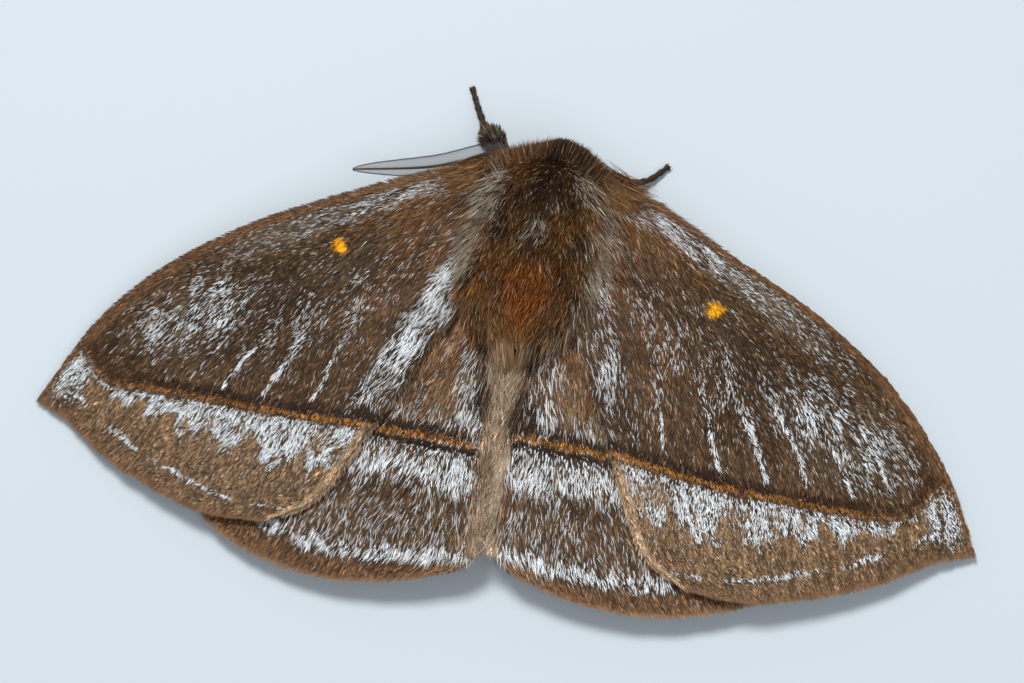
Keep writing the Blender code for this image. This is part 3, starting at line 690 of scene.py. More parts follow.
def add_coat(name, points, tones, places, mat, slot, floor=0.0):
    """Coat pieces of less than the limit of triangles each, with a small patch at each tuft's place."""
    count, corners = points.shape[:2]
    points[..., 2] = np.maximum(points[..., 2], floor)
    # Tones given once per tuft get the painted shade at the root and the painted highlight at the tip.
    if tones.ndim == 2:
        tones = tones[:, None] * TUFT_PAINTED_SHADE[corners][:, None]
    faces = TUFT_FACES[corners]
    parts = math.ceil(count / (COAT_LIMIT // len(faces)))
    for k in range(parts):
        take = slice(k * count // parts, (k + 1) * count // parts)
        tufts = faces + corners * np.arange(len(points[take]))[:, None, None]
        title = name if parts == 1 else f"{name}_{k + 1}"
        patches = places[take][:, None] + TUFT_PATCH[corners]
        add_mesh(title, points[take], tufts, mat, slot, tones[take], patches, smooth=False)


def triangles(*corners):
    """One list of triangles from several sets of their first, second and third corners."""
    return np.concatenate([np.stack(three, -1).reshape(-1, 3) for three in corners])


def spread_places(line, along):
    """Places on the bake map of things spread over a whole piece."""
    return np.stack((line * 0.96 + 0.02, along * 0.96 + 0.02), 1)


# Materials.


def feed(tree, made, **settings):
    """Gives a node's inputs values or links, named with underscores, and sets its other properties."""
    for key, value in settings.items():
        socket = made.inputs.get(key.replace("_", " "))
        if socket is None:
            setattr(made, key, value)
        elif isinstance(value, bpy.types.NodeSocket):
            tree.links.new(value, socket)
        else:
            socket.default_value = value


def node(tree, kind, output, **settings):
    """A new shader node's output of the given name."""
    made = tree.nodes.new(kind)
    feed(tree, made, **settings)
    return made.outputs[output]


def shader(name):
    mat = bpy.data.materials.new(name)
    mat.use_nodes = True
    return mat, mat.node_tree, mat.node_tree.nodes["Principled BSDF"]


def tone_material(name, roughness, specular, grain, contrast, relief=0.0):
    """A material that takes its markings from the mesh's own tones, broken up by a fine grain."""
    mat, tree, base = shader(name)
    tone = node(tree, "ShaderNodeAttribute", "Color", attribute_name="tone")
    spot = node(tree, "ShaderNodeTexCoord", "Object")
    noise = node(tree, "ShaderNodeTexNoise", "Fac", Scale=grain, Detail=3.0, Vector=spot)
    span = node(tree, "ShaderNodeMapRange", "Result", To_Min=1 - contrast, To_Max=1 + contrast, Value=noise)
    colour = node(tree, "ShaderNodeVectorMath", "Vector", operation="SCALE", Vector=tone, Scale=span)
    low, high = max(0.05, roughness - 0.12), min(1.0, roughness + 0.12)
    rough = node(tree, "ShaderNodeMapRange", "Result", To_Min=low, To_Max=high, Value=noise)
    feed(tree, base, Base_Color=colour, Roughness=rough, Specular_IOR_Level=specular)
    if relief:
        fine = node(tree, "ShaderNodeTexNoise", "Fac", Scale=grain * 3, Detail=4.0, Vector=spot)
        raised = node(tree, "ShaderNodeBump", "Normal", Strength=relief, Distance=0.00008, Height=fine)
        feed(tree, base, Normal=raised)
    return mat


def eye_material():
    """A compound eye: near black, glossy, with a fine honeycomb of facets."""
    mat, tree, base = shader("eye_facets")
    spot = node(tree, "ShaderNodeTexCoord", "Object")
    cells = node(tree, "ShaderNodeTexVoronoi", "Distance", Scale=14000.0, Vector=spot)
    colour = node(tree, "ShaderNodeValToRGB", "Color", Fac=cells)
    colour.node.color_ramp.elements[0].color = (0.030, 0.016, 0.008, 1)
    colour.node.color_ramp.elements[1].color = (0.006, 0.004, 0.003, 1)
    raised = node(
        tree, "ShaderNodeBump", "Normal", Strength=0.35, Distance=0.00002, invert=True, Height=cells
    )
    feed(tree, base, Base_Color=colour, Normal=raised, Roughness=0.30, Coat_Weight=0.15)
    return mat


SCALE_MAT = tone_material("scale_hair", 0.50, 0.09, 2500.0, 0.22)
FUR_MAT = tone_material("body_fur", 0.45, 0.12, 1800.0, 0.25)
SKIN_MAT = tone_material("scaled_membrane", 0.8, 0.2, 1500.0, 0.4, relief=0.6)
BODY_MAT = tone_material("downy_skin", 0.9, 0.1, 1500.0, 0.35, relief=0.7)
HORN_MAT = tone_material("feeler_horn", 0.45, 0.45, 3000.0, 0.3, relief=0.3)
LEG_MAT = tone_material("leg_scales", 0.7, 0.25, 2600.0, 0.4, relief=0.6)


# The wings: a membrane with raised veins, its scales, and the fringe round its edge.

SKIN_DEPTH = 0.14
SKIN_THICKNESS = 0.24
SKIN_TRIM = 0.45 / 40.0
VEIN_HEIGHT = 0.05
VEIN_HALF = 0.012
TERMEN_LINE = 0.986


def wing_skin(wing):
    """The membrane: a thin closed sheet under the scales, its veins raised in its surface."""
    wide, long = wing.plan.skin_grid
    line, along = np.meshgrid(np.linspace(0.0, 1.0, wide), np.linspace(0.0, 1.0, long) ** 0.95, indexing="ij")
    line, along = line.ravel(), along.ravel()
    inset = np.clip(line, 0.006, 0.99), along * (1 - SKIN_TRIM)
    point, _, _, up = wing.pose(*inset)
    vein = np.max([bump(line, at, VEIN_HALF) for at in wing.plan.veins], 0)
    colour, white, _, _ = wing.marks(*inset)
    # The membrane takes the scales' colours at a third of their brightness: painted shade in the gaps between
    # the scales.
    colour = tint(colour * 0.35, "white", white * 0.2, 0.5)
    swell = VEIN_HEIGHT * vein * ease(along, 0.0, 0.2)
    top = point + up * column(swell - SKIN_DEPTH)
    bottom = point - up * column(SKIN_DEPTH + SKIN_THICKNESS - swell)
    bottom[:, 2] = np.maximum(np.minimum(top[:, 2] - 0.05, bottom[:, 2]), 0.02)
    size = wide * long
    index = np.arange(size).reshape(wide, long)
    a, b, c, d = (part.ravel() for part in (index[:-1, :-1], index[1:, :-1], index[1:, 1:], index[:-1, 1:]))
    upper = triangles((a, b, c), (a, c, d))
    rim = np.concatenate((index[:, 0], index[-1, 1:], index[-2::-1, -1], index[0, -2:0:-1]))
    follow = np.roll(rim, -1)
    wall = triangles((rim, follow + size, follow), (rim, rim + size, follow + size))
    faces = np.concatenate((upper, upper[:, ::-1] + size, wall))
    if wing.side == "left":
        faces = faces[:, ::-1]
    tones = np.concatenate((colour, tint(colour, "grey", 0.35, 0.6)))
    places = [np.stack((line * 0.46 + start, along * 0.96 + 0.02), 1) for start in (0.02, 0.52)]
    points = np.concatenate((top, bottom))
    places = np.concatenate(places)
    obj = add_mesh(f"membrane_{wing.name}", points, faces, SKIN_MAT, "wing", tones, places)
    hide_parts(wing.name)


def wing_scales(wing):
    """The scales and hair of a wing's upper side, which lie along its veins towards the edge."""
    seed = 100 + wing.number
    rng = np.random.default_rng(seed)
    count = wing.plan.scales
    line, along = wing.scatter(count, rng)
    pace = np.linalg.norm(wing.flat(line, along) - wing.flat(line, along - 0.02), axis=1) / 0.02
    length = wing.marks(line, along)[2]
    colour, white, _, calm = wing.marks(line, clamp(along + 0.5 * length / pace))
    point, ahead, beside, up = wing.pose(line, along * 0.988)
    sway = 0.22 * ripple(point[:, 0], point[:, 1], 4.0, seed)
    turn = column((rng.normal(0, 0.17, count) + sway) * (1 - 0.85 * calm))
    lie = unit(ahead * np.cos(turn) + beside * np.sin(turn))
    lane = ripple(line * wing.chord(along), along * 9.0, 0.32, seed + 5, 9) * (1 - calm)

    # White ones, cream ones among them, and brown ones with some paler buff ones that are painted glints.
    is_white = rng.random(count) < white * (1.05 + 0.75 * lane)
    tones = colour * column(rng.lognormal(-0.12, 0.46, count) * np.exp(0.42 * lane))
    bright = rng.uniform(0.6, 1.1, count) * (0.52 + 0.55 * clamp(white * 2.6))
    pale = tint(PALETTE["white"] * column(bright), "cream", (rng.random(count) < 0.18) * 0.6, 0.9)
    tones = np.where(column(is_white), pale, tones)
    # The few buff scales among the brown ones are painted glints.
    light = (rng.random(count) < 0.05) & ~is_white & (calm < 0.3)
    tones = np.where(column(light), tint(tones, "buff", 0.45), tones)
    # Each scale darkens to its root as painted shade and lightens to its tip as a painted highlight.
    tones = tones[:, None] * (SCALE_PAINTED_SHADE * rng.uniform(0.85, 1.15, (count, 4)))[..., None]
    size = 0.95 * length * rng.uniform(0.6, 1.25, count)
    size = np.minimum(size, (1 - along) * pace + 0.6) * np.where(is_white & (length < 1.2), 0.8, 1.0)
    width = rng.uniform(0.065, 0.105, count) * np.where(is_white, 0.85, 1.10)
    lift = rng.uniform(0.04, 0.18, count) + 0.05 * is_white + 0.03 * lane
    seat = point - up * (SKIN_DEPTH - 0.02)
    points = slivers(seat, lie, np.cross(up, lie), up, size, width, lift, 0.03)
    add_coat(f"scales_{wing.name}", points, tones, spread_places(line, along), SCALE_MAT, "wing", 0.05)


def add_fringe(title, wing, seat, lie, up, length, width, lift, tones, places):
    """Flat scales seated in a wing's edge."""
    points = slivers(seat, lie, np.cross(up, lie), up, length, width, lift)
    add_coat(f"{title}_{wing.name}", points, tones, places, SCALE_MAT, "wing", 0.04)


def edge_fringe(wing, count=5200):
    """The fringe of flat scales round a wing's outer edge, in two ranks and notched between the veins."""
    rng = np.random.default_rng(200 + wing.number)
    line = rng.random(count)
    along = TERMEN_LINE - rng.random(count) * 0.010
    point, ahead, beside, up = wing.pose(line, along)
    middle = wing.cell(line)
    notch = 0.85 + 0.15 * np.abs(np.cos(math.pi * middle)) ** 0.7
    long_rank = rng.random(count) < 0.5
    length = (wing.plan.fringe + 0.26 * long_rank) * notch * rng.uniform(0.9, 1.08, count) + 0.35
    turn = column(rng.normal(0, 0.10, count))
    lie = unit(ahead * np.cos(turn) + beside * np.sin(turn))
    seat = point - up * column(rng.uniform(0.10, 0.30, count))
    shade = np.where(long_rank, 1.25, 0.75) * np.where(np.abs(middle - 0.5) > 0.36, 0.7, 1.0)
    colour = PALETTE["fringe"] * column(shade)
    tip = tint(colour, "buff", 0.6 if wing.kind == "hind" else 0.3)
    width = rng.uniform(0.07, 0.12, count)
    tones = np.stack((colour, colour, colour, tip), 1) * rng.lognormal(0, 0.2, count)[:, None, None]
    places = np.stack((line * 0.96 + 0.02, rng.random(count) * 0.9 + 0.05), 1)
    add_fringe("fringe", wing, seat, lie, up, length, width, [0.03], tones, places)


def rim_fringe(wing, count=2700):
    """Short flat scales over the leading edge, and over the inner margin of a wing."""
    rng = np.random.default_rng(300 + wing.number)
    along = rng.random(count) * 0.97 + 0.01
    front = rng.random(count) < 0.55
    line = np.where(front, 0.004 + 0.008 * rng.random(count), 0.99 - 0.008 * rng.random(count))
    point, ahead, _, up = wing.pose(line, along)
    away = unit(point - wing.surface(np.full(count, 0.5), along))
    away = unit(away - up * column(np.einsum("ij,ij->i", away, up)))
    fan = 0.0
    if (wing.kind, wing.side) == ("fore", "left"):
        fan = np.interp(along, (0.0, 0.3, 0.8, 0.95), (1.0, 0.95, 0.60, 0.1))
    lie = unit(ahead + away * column(np.where(front, fan, 0.35)))
    colour = np.where(column(front), tint(PALETTE["fringe"] * 0.85, "umber", 0.3), PALETTE["buff"] * 0.85)
    length = np.where(front, rng.uniform(0.45, 0.7, count) + 0.7 * fan, rng.uniform(0.6, 1.0, count))
    seat = point - up * column(rng.uniform(0.06, 0.30, count))
    width = rng.uniform(0.09, 0.16, count)
    tones = flat_tones(colour * column(rng.lognormal(0, 0.25, count)))
    add_fringe("rim", wing, seat, lie, up, length, width, [0.05], tones, spread_places(line, along))


def under_scales(wing):
    """Broader, plainer scales on a wing's underside."""
    rng = np.random.default_rng(400 + wing.number)
    count = wing.plan.under_scales
    line, along = wing.scatter(count, rng)
    point, ahead, beside, up = wing.pose(line, along * 0.985)
    colour, white, _, _ = wing.marks(line, along)
    tones = np.where(column(rng.random(count) < white * 0.5), PALETTE["grey"], tint(colour, "tan", 0.5))
    tones = flat_tones(tones * column(rng.lognormal(0, 0.22, count)))
    room = np.linalg.norm(point - wing.surface(wing.across(line, 1.0), np.ones(count)), axis=1)
    size = np.minimum(rng.uniform(1.2, 1.9, count), room + 0.1)
    width = rng.uniform(0.4, 0.65, count) * np.clip(size / 1.4, 0.4, 1)
    seat = point - up * (SKIN_DEPTH + SKIN_THICKNESS - 0.03)
    points = slivers(seat, ahead, -beside, -up, size, width, rng.uniform(0.05, 0.13, count), 0.03)
    places = spread_places(line, along)
    add_coat(f"underside_{wing.name}", points, tones, places, SCALE_MAT, "wing", 0.03)


def flat_tones(tones):
    """The same tone for all four points of each scale."""
    return np.repeat(tones[:, None], 4, 1)


# Closed forms.


def outward(points, faces):
    """The faces turned round where they enclose a negative volume."""
    a, b, c = (points[faces[:, k]] for k in range(3))
    return faces if np.einsum("ij,ij->i", a, np.cross(b, c)).sum() > 0 else faces[:, ::-1]


def tube_faces(rings, sides):
    """Triangles of a closed tube whose ring points come first, then its first and its last cap point."""
    index = np.arange(rings * sides).reshape(rings, sides)
    a, b = index[:-1], np.roll(index[:-1], -1, 1)
    c, d = np.roll(index[1:], -1, 1), index[1:]
    first, last = rings * sides, rings * sides + 1
    cap = (np.roll(index[0], -1), index[0], np.full(sides, first))
    end = (index[-1], np.roll(index[-1], -1), np.full(sides, last))
    return triangles((a, b, c), (a, c, d), cap, end)


def sphere_like(middle, half, bluntness=2.0, rings=36, sides=48):
    """A closed ellipsoid whose profile along its length may be blunter than an ellipse."""
    t = np.sin(np.linspace(-1, 1, rings + 2)[1:-1] * math.pi / 2)
    ring = (1 - np.abs(t) ** bluntness) ** (1 / bluntness)
    turn = np.arange(sides) * 2 * math.pi / sides
    y = np.repeat(column(half[1] * t), sides, 1)
    points = np.stack((half[0] * np.outer(ring, np.sin(turn)), y, half[2] * np.outer(ring, np.cos(turn))), -1)
    points = np.concatenate((points.reshape(-1, 3), [(0, -half[1], 0), (0, half[1], 0)])) + middle
    return points, tube_faces(rings, sides)


def tube(path, radii, sides=10, flat=1.0):
    """A closed tube along a path of points, round or flattened."""
    run = unit(np.gradient(path, axis=0))
    beside, over = sideways(run)
    turn = np.arange(sides) * 2 * math.pi / sides
    radii = np.asarray(radii, float)[:, None, None]
    ring = beside[:, None] * column(np.cos(turn)) + over[:, None] * column(flat * np.sin(turn))
    ends = (path[0] - run[0] * radii[0, 0] * 0.5, path[-1] + run[-1] * radii[-1, 0] * 0.5)
    return np.concatenate(((path[:, None] + ring * radii).reshape(-1, 3), ends)), tube_faces(len(path), sides)


def sideways(run):
    """The level way and the upright way across each direction."""
    beside = unit(np.cross(run, (0.0, 0.0, 1.0)))
    return beside, np.cross(beside, run)


def join(pieces):
    """Several meshes' points and triangles as one list of each, all facing outwards."""
    starts = np.cumsum([0] + [len(points) for points, _ in pieces])
    faces = [outward(*piece) + start for piece, start in zip(pieces, starts)]
    return np.concatenate([points for points, _ in pieces]), np.concatenate(faces)


def remeshed(points, faces, voxel, rounds):
    """The forms joined as one smooth closed surface: its points in millimetres and its triangles."""
    mesh = bpy.data.meshes.new("raw")
    mesh.from_pydata(points.tolist(), [], faces.tolist())
    raw = bpy.data.objects.new("raw", mesh)
    bpy.context.scene.collection.objects.link(raw)
    fuse = raw.modifiers.new("fuse", "REMESH")
    fuse.mode = "VOXEL"
    fuse.voxel_size = voxel
    raw.modifiers.new("relax", "SMOOTH").iterations = rounds
    raw.modifiers.new("triangles", "TRIANGULATE")
    done = raw.evaluated_get(bpy.context.evaluated_depsgraph_get())
    made = done.to_mesh()
    new_points = np.empty(len(made.vertices) * 3)
    made.vertices.foreach_get("co", new_points)
    new_faces = np.empty(len(made.polygons) * 3, np.int32)
    made.polygons.foreach_get("vertices", new_faces)
    done.to_mesh_clear()
    bpy.data.objects.remove(raw)
    bpy.data.meshes.remove(mesh)
    return new_points.reshape(-1, 3), new_faces.reshape(-1, 3)


# The body: one skin over thorax, head, palps and abdomen, with its fur.

ABDOMEN_Y = (9.0, 13.0, 17.0, 21.0, 25.0, 29.0)
ABDOMEN_Z = (3.3, 2.8, 2.45, 2.2, 2.0, 1.8)
ABDOMEN_R = (1.9, 2.1, 1.85, 1.6, 1.25, 0.6)
ABDOMEN_BREADTH = 1.3
ABDOMEN_RINGS = 8
PALP_ROOT = np.array((0.55, -0.9, -1.3))
PALP_BEND = np.array(((0, 0, 0), (0.1, -0.6, -0.3), (0.15, -1.0, -0.1), (0.17, -1.3, 0.0)))
ORANGE_MIDDLE = (-0.4, 8.2)
ORANGE_SIZE = (2.1, 3.1)
# Small pale places on the thorax: their middle, size and strength.
PALE_PLACES = (((-0.7, 1.9), 1.1, 0.55), ((-1.5, -0.6), 0.8, 0.3), ((0.3, 3.4), 1.3, 0.2))
# The front edge of the fur, seen from above, from the left shoulder to the right.
COLLAR = Curve(
    (
        (7.4, -3.8), (6.2, -5.0), (5.2, -5.9), (4.1, -6.4), (2.7, -7.0), (1.0, -7.5),
        (-0.6, -8.0), (-2.3, -7.9), (-4.4, -6.8), (-6.2, -5.4), (-8.4, -4.2),
    )
)


def body_forms():
    y = np.linspace(ABDOMEN_Y[0] - 1.5, ABDOMEN_Y[-1], 72)
    share = (y - ABDOMEN_Y[0]) / (ABDOMEN_Y[-1] - ABDOMEN_Y[0]) * ABDOMEN_RINGS
    swell = 0.10 * np.sqrt(clamp(share % 1.0)) - 0.05
    path = np.stack((np.zeros_like(y), y, np.interp(y, ABDOMEN_Y, ABDOMEN_Z)), -1)
    radii = np.interp(y, ABDOMEN_Y, ABDOMEN_R) + swell
    forms = [
        sphere_like(THORAX_MIDDLE, THORAX_HALF * 0.985, THORAX_BLUNTNESS),
        sphere_like(HEAD_MIDDLE, HEAD_HALF * 0.97),
        tube(path, radii * ABDOMEN_BREADTH, 28, 1 / ABDOMEN_BREADTH),
    ]
    for way in (1, -1):
        route = Curve(HEAD_MIDDLE + (PALP_ROOT + PALP_BEND) * np.array((way, 1, 1)))
        palp = route(np.linspace(0, 1, 12))
        forms.append(tube(palp, np.linspace(0.38, 0.16, 12), 10))
    return forms


def body_marks(points):
    """Colour, share of pale hair and length of hair for points of the body."""
    x, y, z = points.T
    strand = ripple(x * 2.2, y * 0.5, 1.6, 71)
    cloud = ripple(x, y, 4.5, 72)
    flank = ease(x, 2.2, 4.0) * ease(y, 0.5, 3.5)
    collar = ease(y, -2.2, -4.6) * ease(z, 5.0, 7.5)
    seam = bump(x, -0.5, 0.45) * ease(y, 0.5, -1.5)
    shaded = ease(x, 0.1, -0.9) * ease(y, 0.0, -2.5) * ease(x, -4.6, -3.0)
    head = ease(y, -5.8, -7.0)
    rear = ease(y, 2.5, 6.0) * (1 - ease(np.abs(x), 2.4, 4.2))
    reach = np.hypot((x - ORANGE_MIDDLE[0]) / ORANGE_SIZE[0], (y - ORANGE_MIDDLE[1]) / ORANGE_SIZE[1])
    patch = 1 - ease(reach, 0.55, 1.15)
    low = ease(z, 6.0, 3.5)
    below = ease(y, 9.2, 12.0)
    colour = layered(
        PALETTE["umber"],
        ("dark", 0.32 + 0.4 * strand),
        ("gold", clamp(0.26 - 0.6 * strand) * ease(np.abs(x + 0.6), 0.3, 1.2), 0.62),
        ("gold", clamp(flank * (0.35 - 0.5 * strand)), 0.75),
        ("rust", clamp(collar * (0.15 + 0.35 * bump(x, 2.2, 2.6) + 0.25 * cloud)), 0.7),
        ("dark", np.maximum(0.75 * seam, 0.40 * shaded)),
        ("dark", 0.5 * head),
        ("rust", clamp(rear * (0.45 + 0.3 * strand)), 0.8),
        ("orange", clamp(patch * (0.8 + 0.2 * strand))),
        ("brown", 0.8 * low),
        ("gold", clamp(below * (0.6 + 0.4 * strand)), 1.15),
    )
    white = 0.03 + 0.03 * strand
    for look in LOOKS.values():
        pale = 1 - ease(look.shoulder.gap(x, y), 0.6, look.shoulder_reach)
        pale = pale * ease(y, -5.2, -3.6) * np.interp(y, (0, 5), (1.0, 1.4))
        white = white + pale * (look.shoulder_power + 0.30 * strand)
    for middle, size, power in PALE_PLACES:
        white = white + power * (1 - ease(np.hypot(x - middle[0], y - middle[1]), 0.3 * size, 1.3 * size))
    white = white * (1 - patch) * (1 - 0.8 * head)
    length = 1.5 + 1.2 * ease(np.abs(x), 2.5, 5.0) * ease(y, -6, -2) * (1 - low)
    length = length + 0.9 * ease(y, 7.5, 11.5) - 1.0 * head - 0.5 * below - 0.25 * collar
    return colour, np.clip(white, 0, 0.9), length


def hair_tones(colour, white, rng, spread):
    """Tones that differ from hair to hair, with some buff ones and a share of pale ones."""
    count = len(colour)
    tones = colour * column(rng.lognormal(-0.02, spread + 0.08, count))
    pale = tint(PALETTE["ash"], "silver", rng.random(count)) * column(rng.uniform(0.6, 1.05, count))
    tones = np.where(column(rng.random(count) < 0.07), tint(tones, "buff", 0.5), tones)
    return np.where(column(rng.random(count) < white), pale, tones)


def wing_top(x, y):
    return roof(x, y) - COSTA_DROOP * 0.5


def thorax_ring(y, end):
    """The share of its full breadth that the thorax has at a place along it."""
    t = np.minimum(np.abs(y - THORAX_MIDDLE[1]) / THORAX_HALF[1], end)
    return (1 - t**THORAX_BLUNTNESS) ** (1 / THORAX_BLUNTNESS)


def thorax_top(x, y):
    """Height of the thorax's upper side, or of the wings where they stand beside it."""
    ring = thorax_ring(y, 0.995)
    rise = np.sqrt(np.maximum(1 - (x / (THORAX_HALF[0] * ring)) ** 2, 0))
    return np.maximum(THORAX_MIDDLE[2] + THORAX_HALF[2] * ring * rise, wing_top(x, y) + 0.1)


def around_places(points):
    """Places on an unwrap of the body: the angle about its length, and the place along it."""
    turn = np.arctan2(points[:, 0], points[:, 2] - 4.0) / (2 * math.pi) + 0.5
    return np.stack((0.02 + 0.96 * turn, 0.02 + 0.96 * (points[:, 1] + 11.0) / 43.0), -1)


def draped(root, tip, bulge):
    """Hair paths from roots to tips that bow upwards on the way."""
    share = np.array((0.0, 0.34, 0.68, 1.0))[:, None]
    path = root[:, None] * (1 - share) + tip[:, None] * share
    path[..., 2] += column(bulge) * np.array((0.0, 0.9, 0.85, 0.0))
    return path


# Each kind of hair gives its paths, its widths, its tones and its places on the bake map.


def body_hair(points, faces, rng, count=27500):
    """Hair all over the body's skin, lying backwards, out over the wings' roots, and inwards behind them."""
    a, b, c = (points[faces[:, k]] for k in range(3))
    normal = np.cross(b - a, c - a)
    middle = (a + b + c) / 3
    hidden = middle[:, 2] < wing_top(middle[:, 0], middle[:, 1]) - 1.0
    weight = np.linalg.norm(normal, axis=1) / 2 * np.where(hidden, 0.38, 1.0)
    pick = rng.choice(len(faces), size=count, p=weight / weight.sum())
    s, t = rng.random((2, count))
    flip = s + t > 1
    s, t = np.where(flip, 1 - s, s), np.where(flip, 1 - t, t)
    root = a[pick] + column(s) * (b - a)[pick] + column(t) * (c - a)[pick]
    up = unit(normal[pick])
    colour, white, length = body_marks(root)
    x, y, z = root.T
    flare = np.interp(y, (-8, -3, 3, 8, 14), (0.55, 0.5, 0.25, -0.35, -0.5))
    flare = np.sign(x) * ease(np.abs(x), 1.0, 5.0) * flare + ripple(x, y, 3.0, 81) * 0.35
    want = np.stack((flare, np.full(count, 1.0), np.where(y < -7.0, 0.12, 0.15)), 1)
    lie = unit(want - up * column(np.einsum("ij,ij->i", want, up)))
    lie = unit(lie + rng.normal(0, 0.20, (count, 3)))
    size = column(0.86 * length * rng.uniform(0.7, 1.25, count))
    rise = up * size * column(np.where(z > 4, 0.30, 0.20) + rng.normal(0, 0.05, count))
    steps = ((0.33, 0.75), (0.68, 1.05), (1.0, 0.95))
    path = np.stack([root - up * 0.12] + [root + lie * size * far + rise * high for far, high in steps], 1)
    path[..., 2] = np.maximum(path[..., 2], 0.12)

    # Hair that starts above the wings is lifted clear of them, and what starts below them stays below.
    top = wing_top(path[..., 0], path[..., 1])
    over = column(path[:, 0, 2] > top[:, 0] - 0.6) & (np.abs(path[..., 0]) > 2.5)
    path[..., 2] = np.where(over, np.maximum(path[..., 2], top + 0.25), path[..., 2])
    return path, rng.uniform(0.042, 0.070, count), hair_tones(colour, white, rng, 0.36), around_places(root)


def shoulder_hair(rng, count=13500):
    """Long hair from the thorax's sides and rear, which runs down over the wings' roots and the abdomen."""
    way = np.where(rng.random(count) < 0.5, 1.0, -1.0)
    y = rng.uniform(-4.6, 11.6, count)
    breadth = THORAX_HALF[0] * thorax_ring(y, 0.97)
    reach = rng.uniform(0.50, 0.99, count)
    rear = ease(y, 6.5, 9.5)
    reach = reach * (1 - rear * rng.random(count) * 0.8)
    x = way * breadth * reach
    root = np.stack((x, y, thorax_top(x, y) - 0.25), -1)
    out = np.interp(y, (-5, -2, 2, 5, 8, 12), (1.05, 0.75, 0.52, 0.24, -0.16, -0.42))
    out = (out + rng.normal(0, 0.12, count)) * np.interp(np.abs(x), (0, 2.6), (0.1, 1.0))
    out = out + way * 0.10 * ripple(x, y, 2.5, 83)
    length = rng.uniform(2.2, 4.6, count) * np.interp(y, (-5, -2, 4, 9, 12), (0.62, 0.85, 1.0, 1.05, 0.85))
    lie = unit(np.stack((way * out, np.ones(count), np.zeros(count)), -1))
    tip = root + lie * column(length)
    over_abdomen = np.where(np.abs(tip[:, 0]) < 2.2, 0.9, 0.0) * ease(tip[:, 1], 10, 13)
    level = wing_top(tip[:, 0], tip[:, 1]) - over_abdomen
    fall = clamp((np.abs(x) / breadth) ** 2 + rear)
    tip[:, 2] = root[:, 2] * (1 - fall) + (level + 0.30) * fall + rng.normal(0.1, 0.12, count)
    tip[:, 2] = np.maximum(tip[:, 2], level + 0.2)
    path = draped(root, tip, 0.35 + 0.35 * fall)

    # Behind the orange patch the hair is tan beside a narrow wedge of orange.
    middle = (root + tip) / 2
    colour, white, _ = body_marks(middle)
    middle_x, middle_y, _ = middle.T
    behind = ease(middle_y, 7.6, 10.2)
    wedge = 0.7 * ease(middle_y, 12.2, 10.6)
    beside = ease(np.abs(middle_x - 0.3), wedge, wedge + 1.2 - 0.5 * behind)
    streak = ripple(x * 2.6, y * 0.6, 1.5, 84)
    colour = layered(
        colour,
        ("gold", 0.30 * ease(np.abs(middle_x), 5.2, 7.0)),
        ("tan", clamp(behind * beside * (0.6 + 0.5 * streak))),
        ("dark", clamp(-behind * beside * streak * 0.6)),
        ("tan", 0.7 * ease(middle_y, 11.2, 13.0)),
    )
    for side, sign in SIDES.items():
        black = dark_groove(LOOKS[side], middle_x * sign, middle_y)
        colour = tint(colour, "border", 0.9 * black)
        white = white * (1 - black)
    colour = tint(colour, "orange", behind * (1 - beside) * 0.6 * ease(middle_y, 13.2, 11.6))
    white = white + 0.10 * behind * beside
    return path, rng.uniform(0.038, 0.064, count), hair_tones(colour, white, rng, 0.36), around_places(root)


def collar_hair(rng, count=11500):
    """Fur that stands out all round the front of the thorax and hides the back of the head."""
    tip = np.concatenate((COLLAR(rng.random(count)), np.zeros((count, 1))), 1)
    inward = unit(np.array((-0.4, 3.0, 0.0)) - tip)
    layer = rng.random(count) ** 1.3
    tip[:, :2] += inward[:, :2] * column(0.2 * rng.random(count) + 1.1 * rng.random(count) ** 2)
    tip = tip + rng.normal(0, 0.12, (count, 3))
    aside = np.stack((-inward[:, 1], inward[:, 0], np.zeros(count)), -1)
    root = tip + inward * column(rng.uniform(1.6, 2.9, count)) + aside * column(rng.normal(0, 0.25, count))
    root[:, 2] = thorax_top(root[:, 0], root[:, 1]) - 0.30 - 1.9 * layer
    tip[:, 2] = np.minimum(root[:, 2] - rng.uniform(0.0, 0.9, count) - 0.3 * layer, 9.2)
    path = draped(root, tip, rng.uniform(0.25, 0.6, count))
    colour, white, _ = body_marks(root)
    x, y, _ = tip.T
    red = np.interp(x, (-5, -1, 1, 5), (0.15, 0.1, 0.40, 0.45)) * (0.75 + 0.4 * ripple(x, y, 2.0, 77))
    red = red * ease(np.linalg.norm(tip - root, axis=1), 1.4, 2.2)
    colour = layered(
        colour,
        ("rust", clamp(red), 0.62),
        ("dark", 0.5 * ease(y, -5.2, -6.6)),
        ("dark", 0.55 * bump(x, -2.5, 1.8)),
    )
    width = rng.uniform(0.038, 0.062, count)
    return path, width, hair_tones(colour, white * 0.15, rng, 0.36), around_places(root)


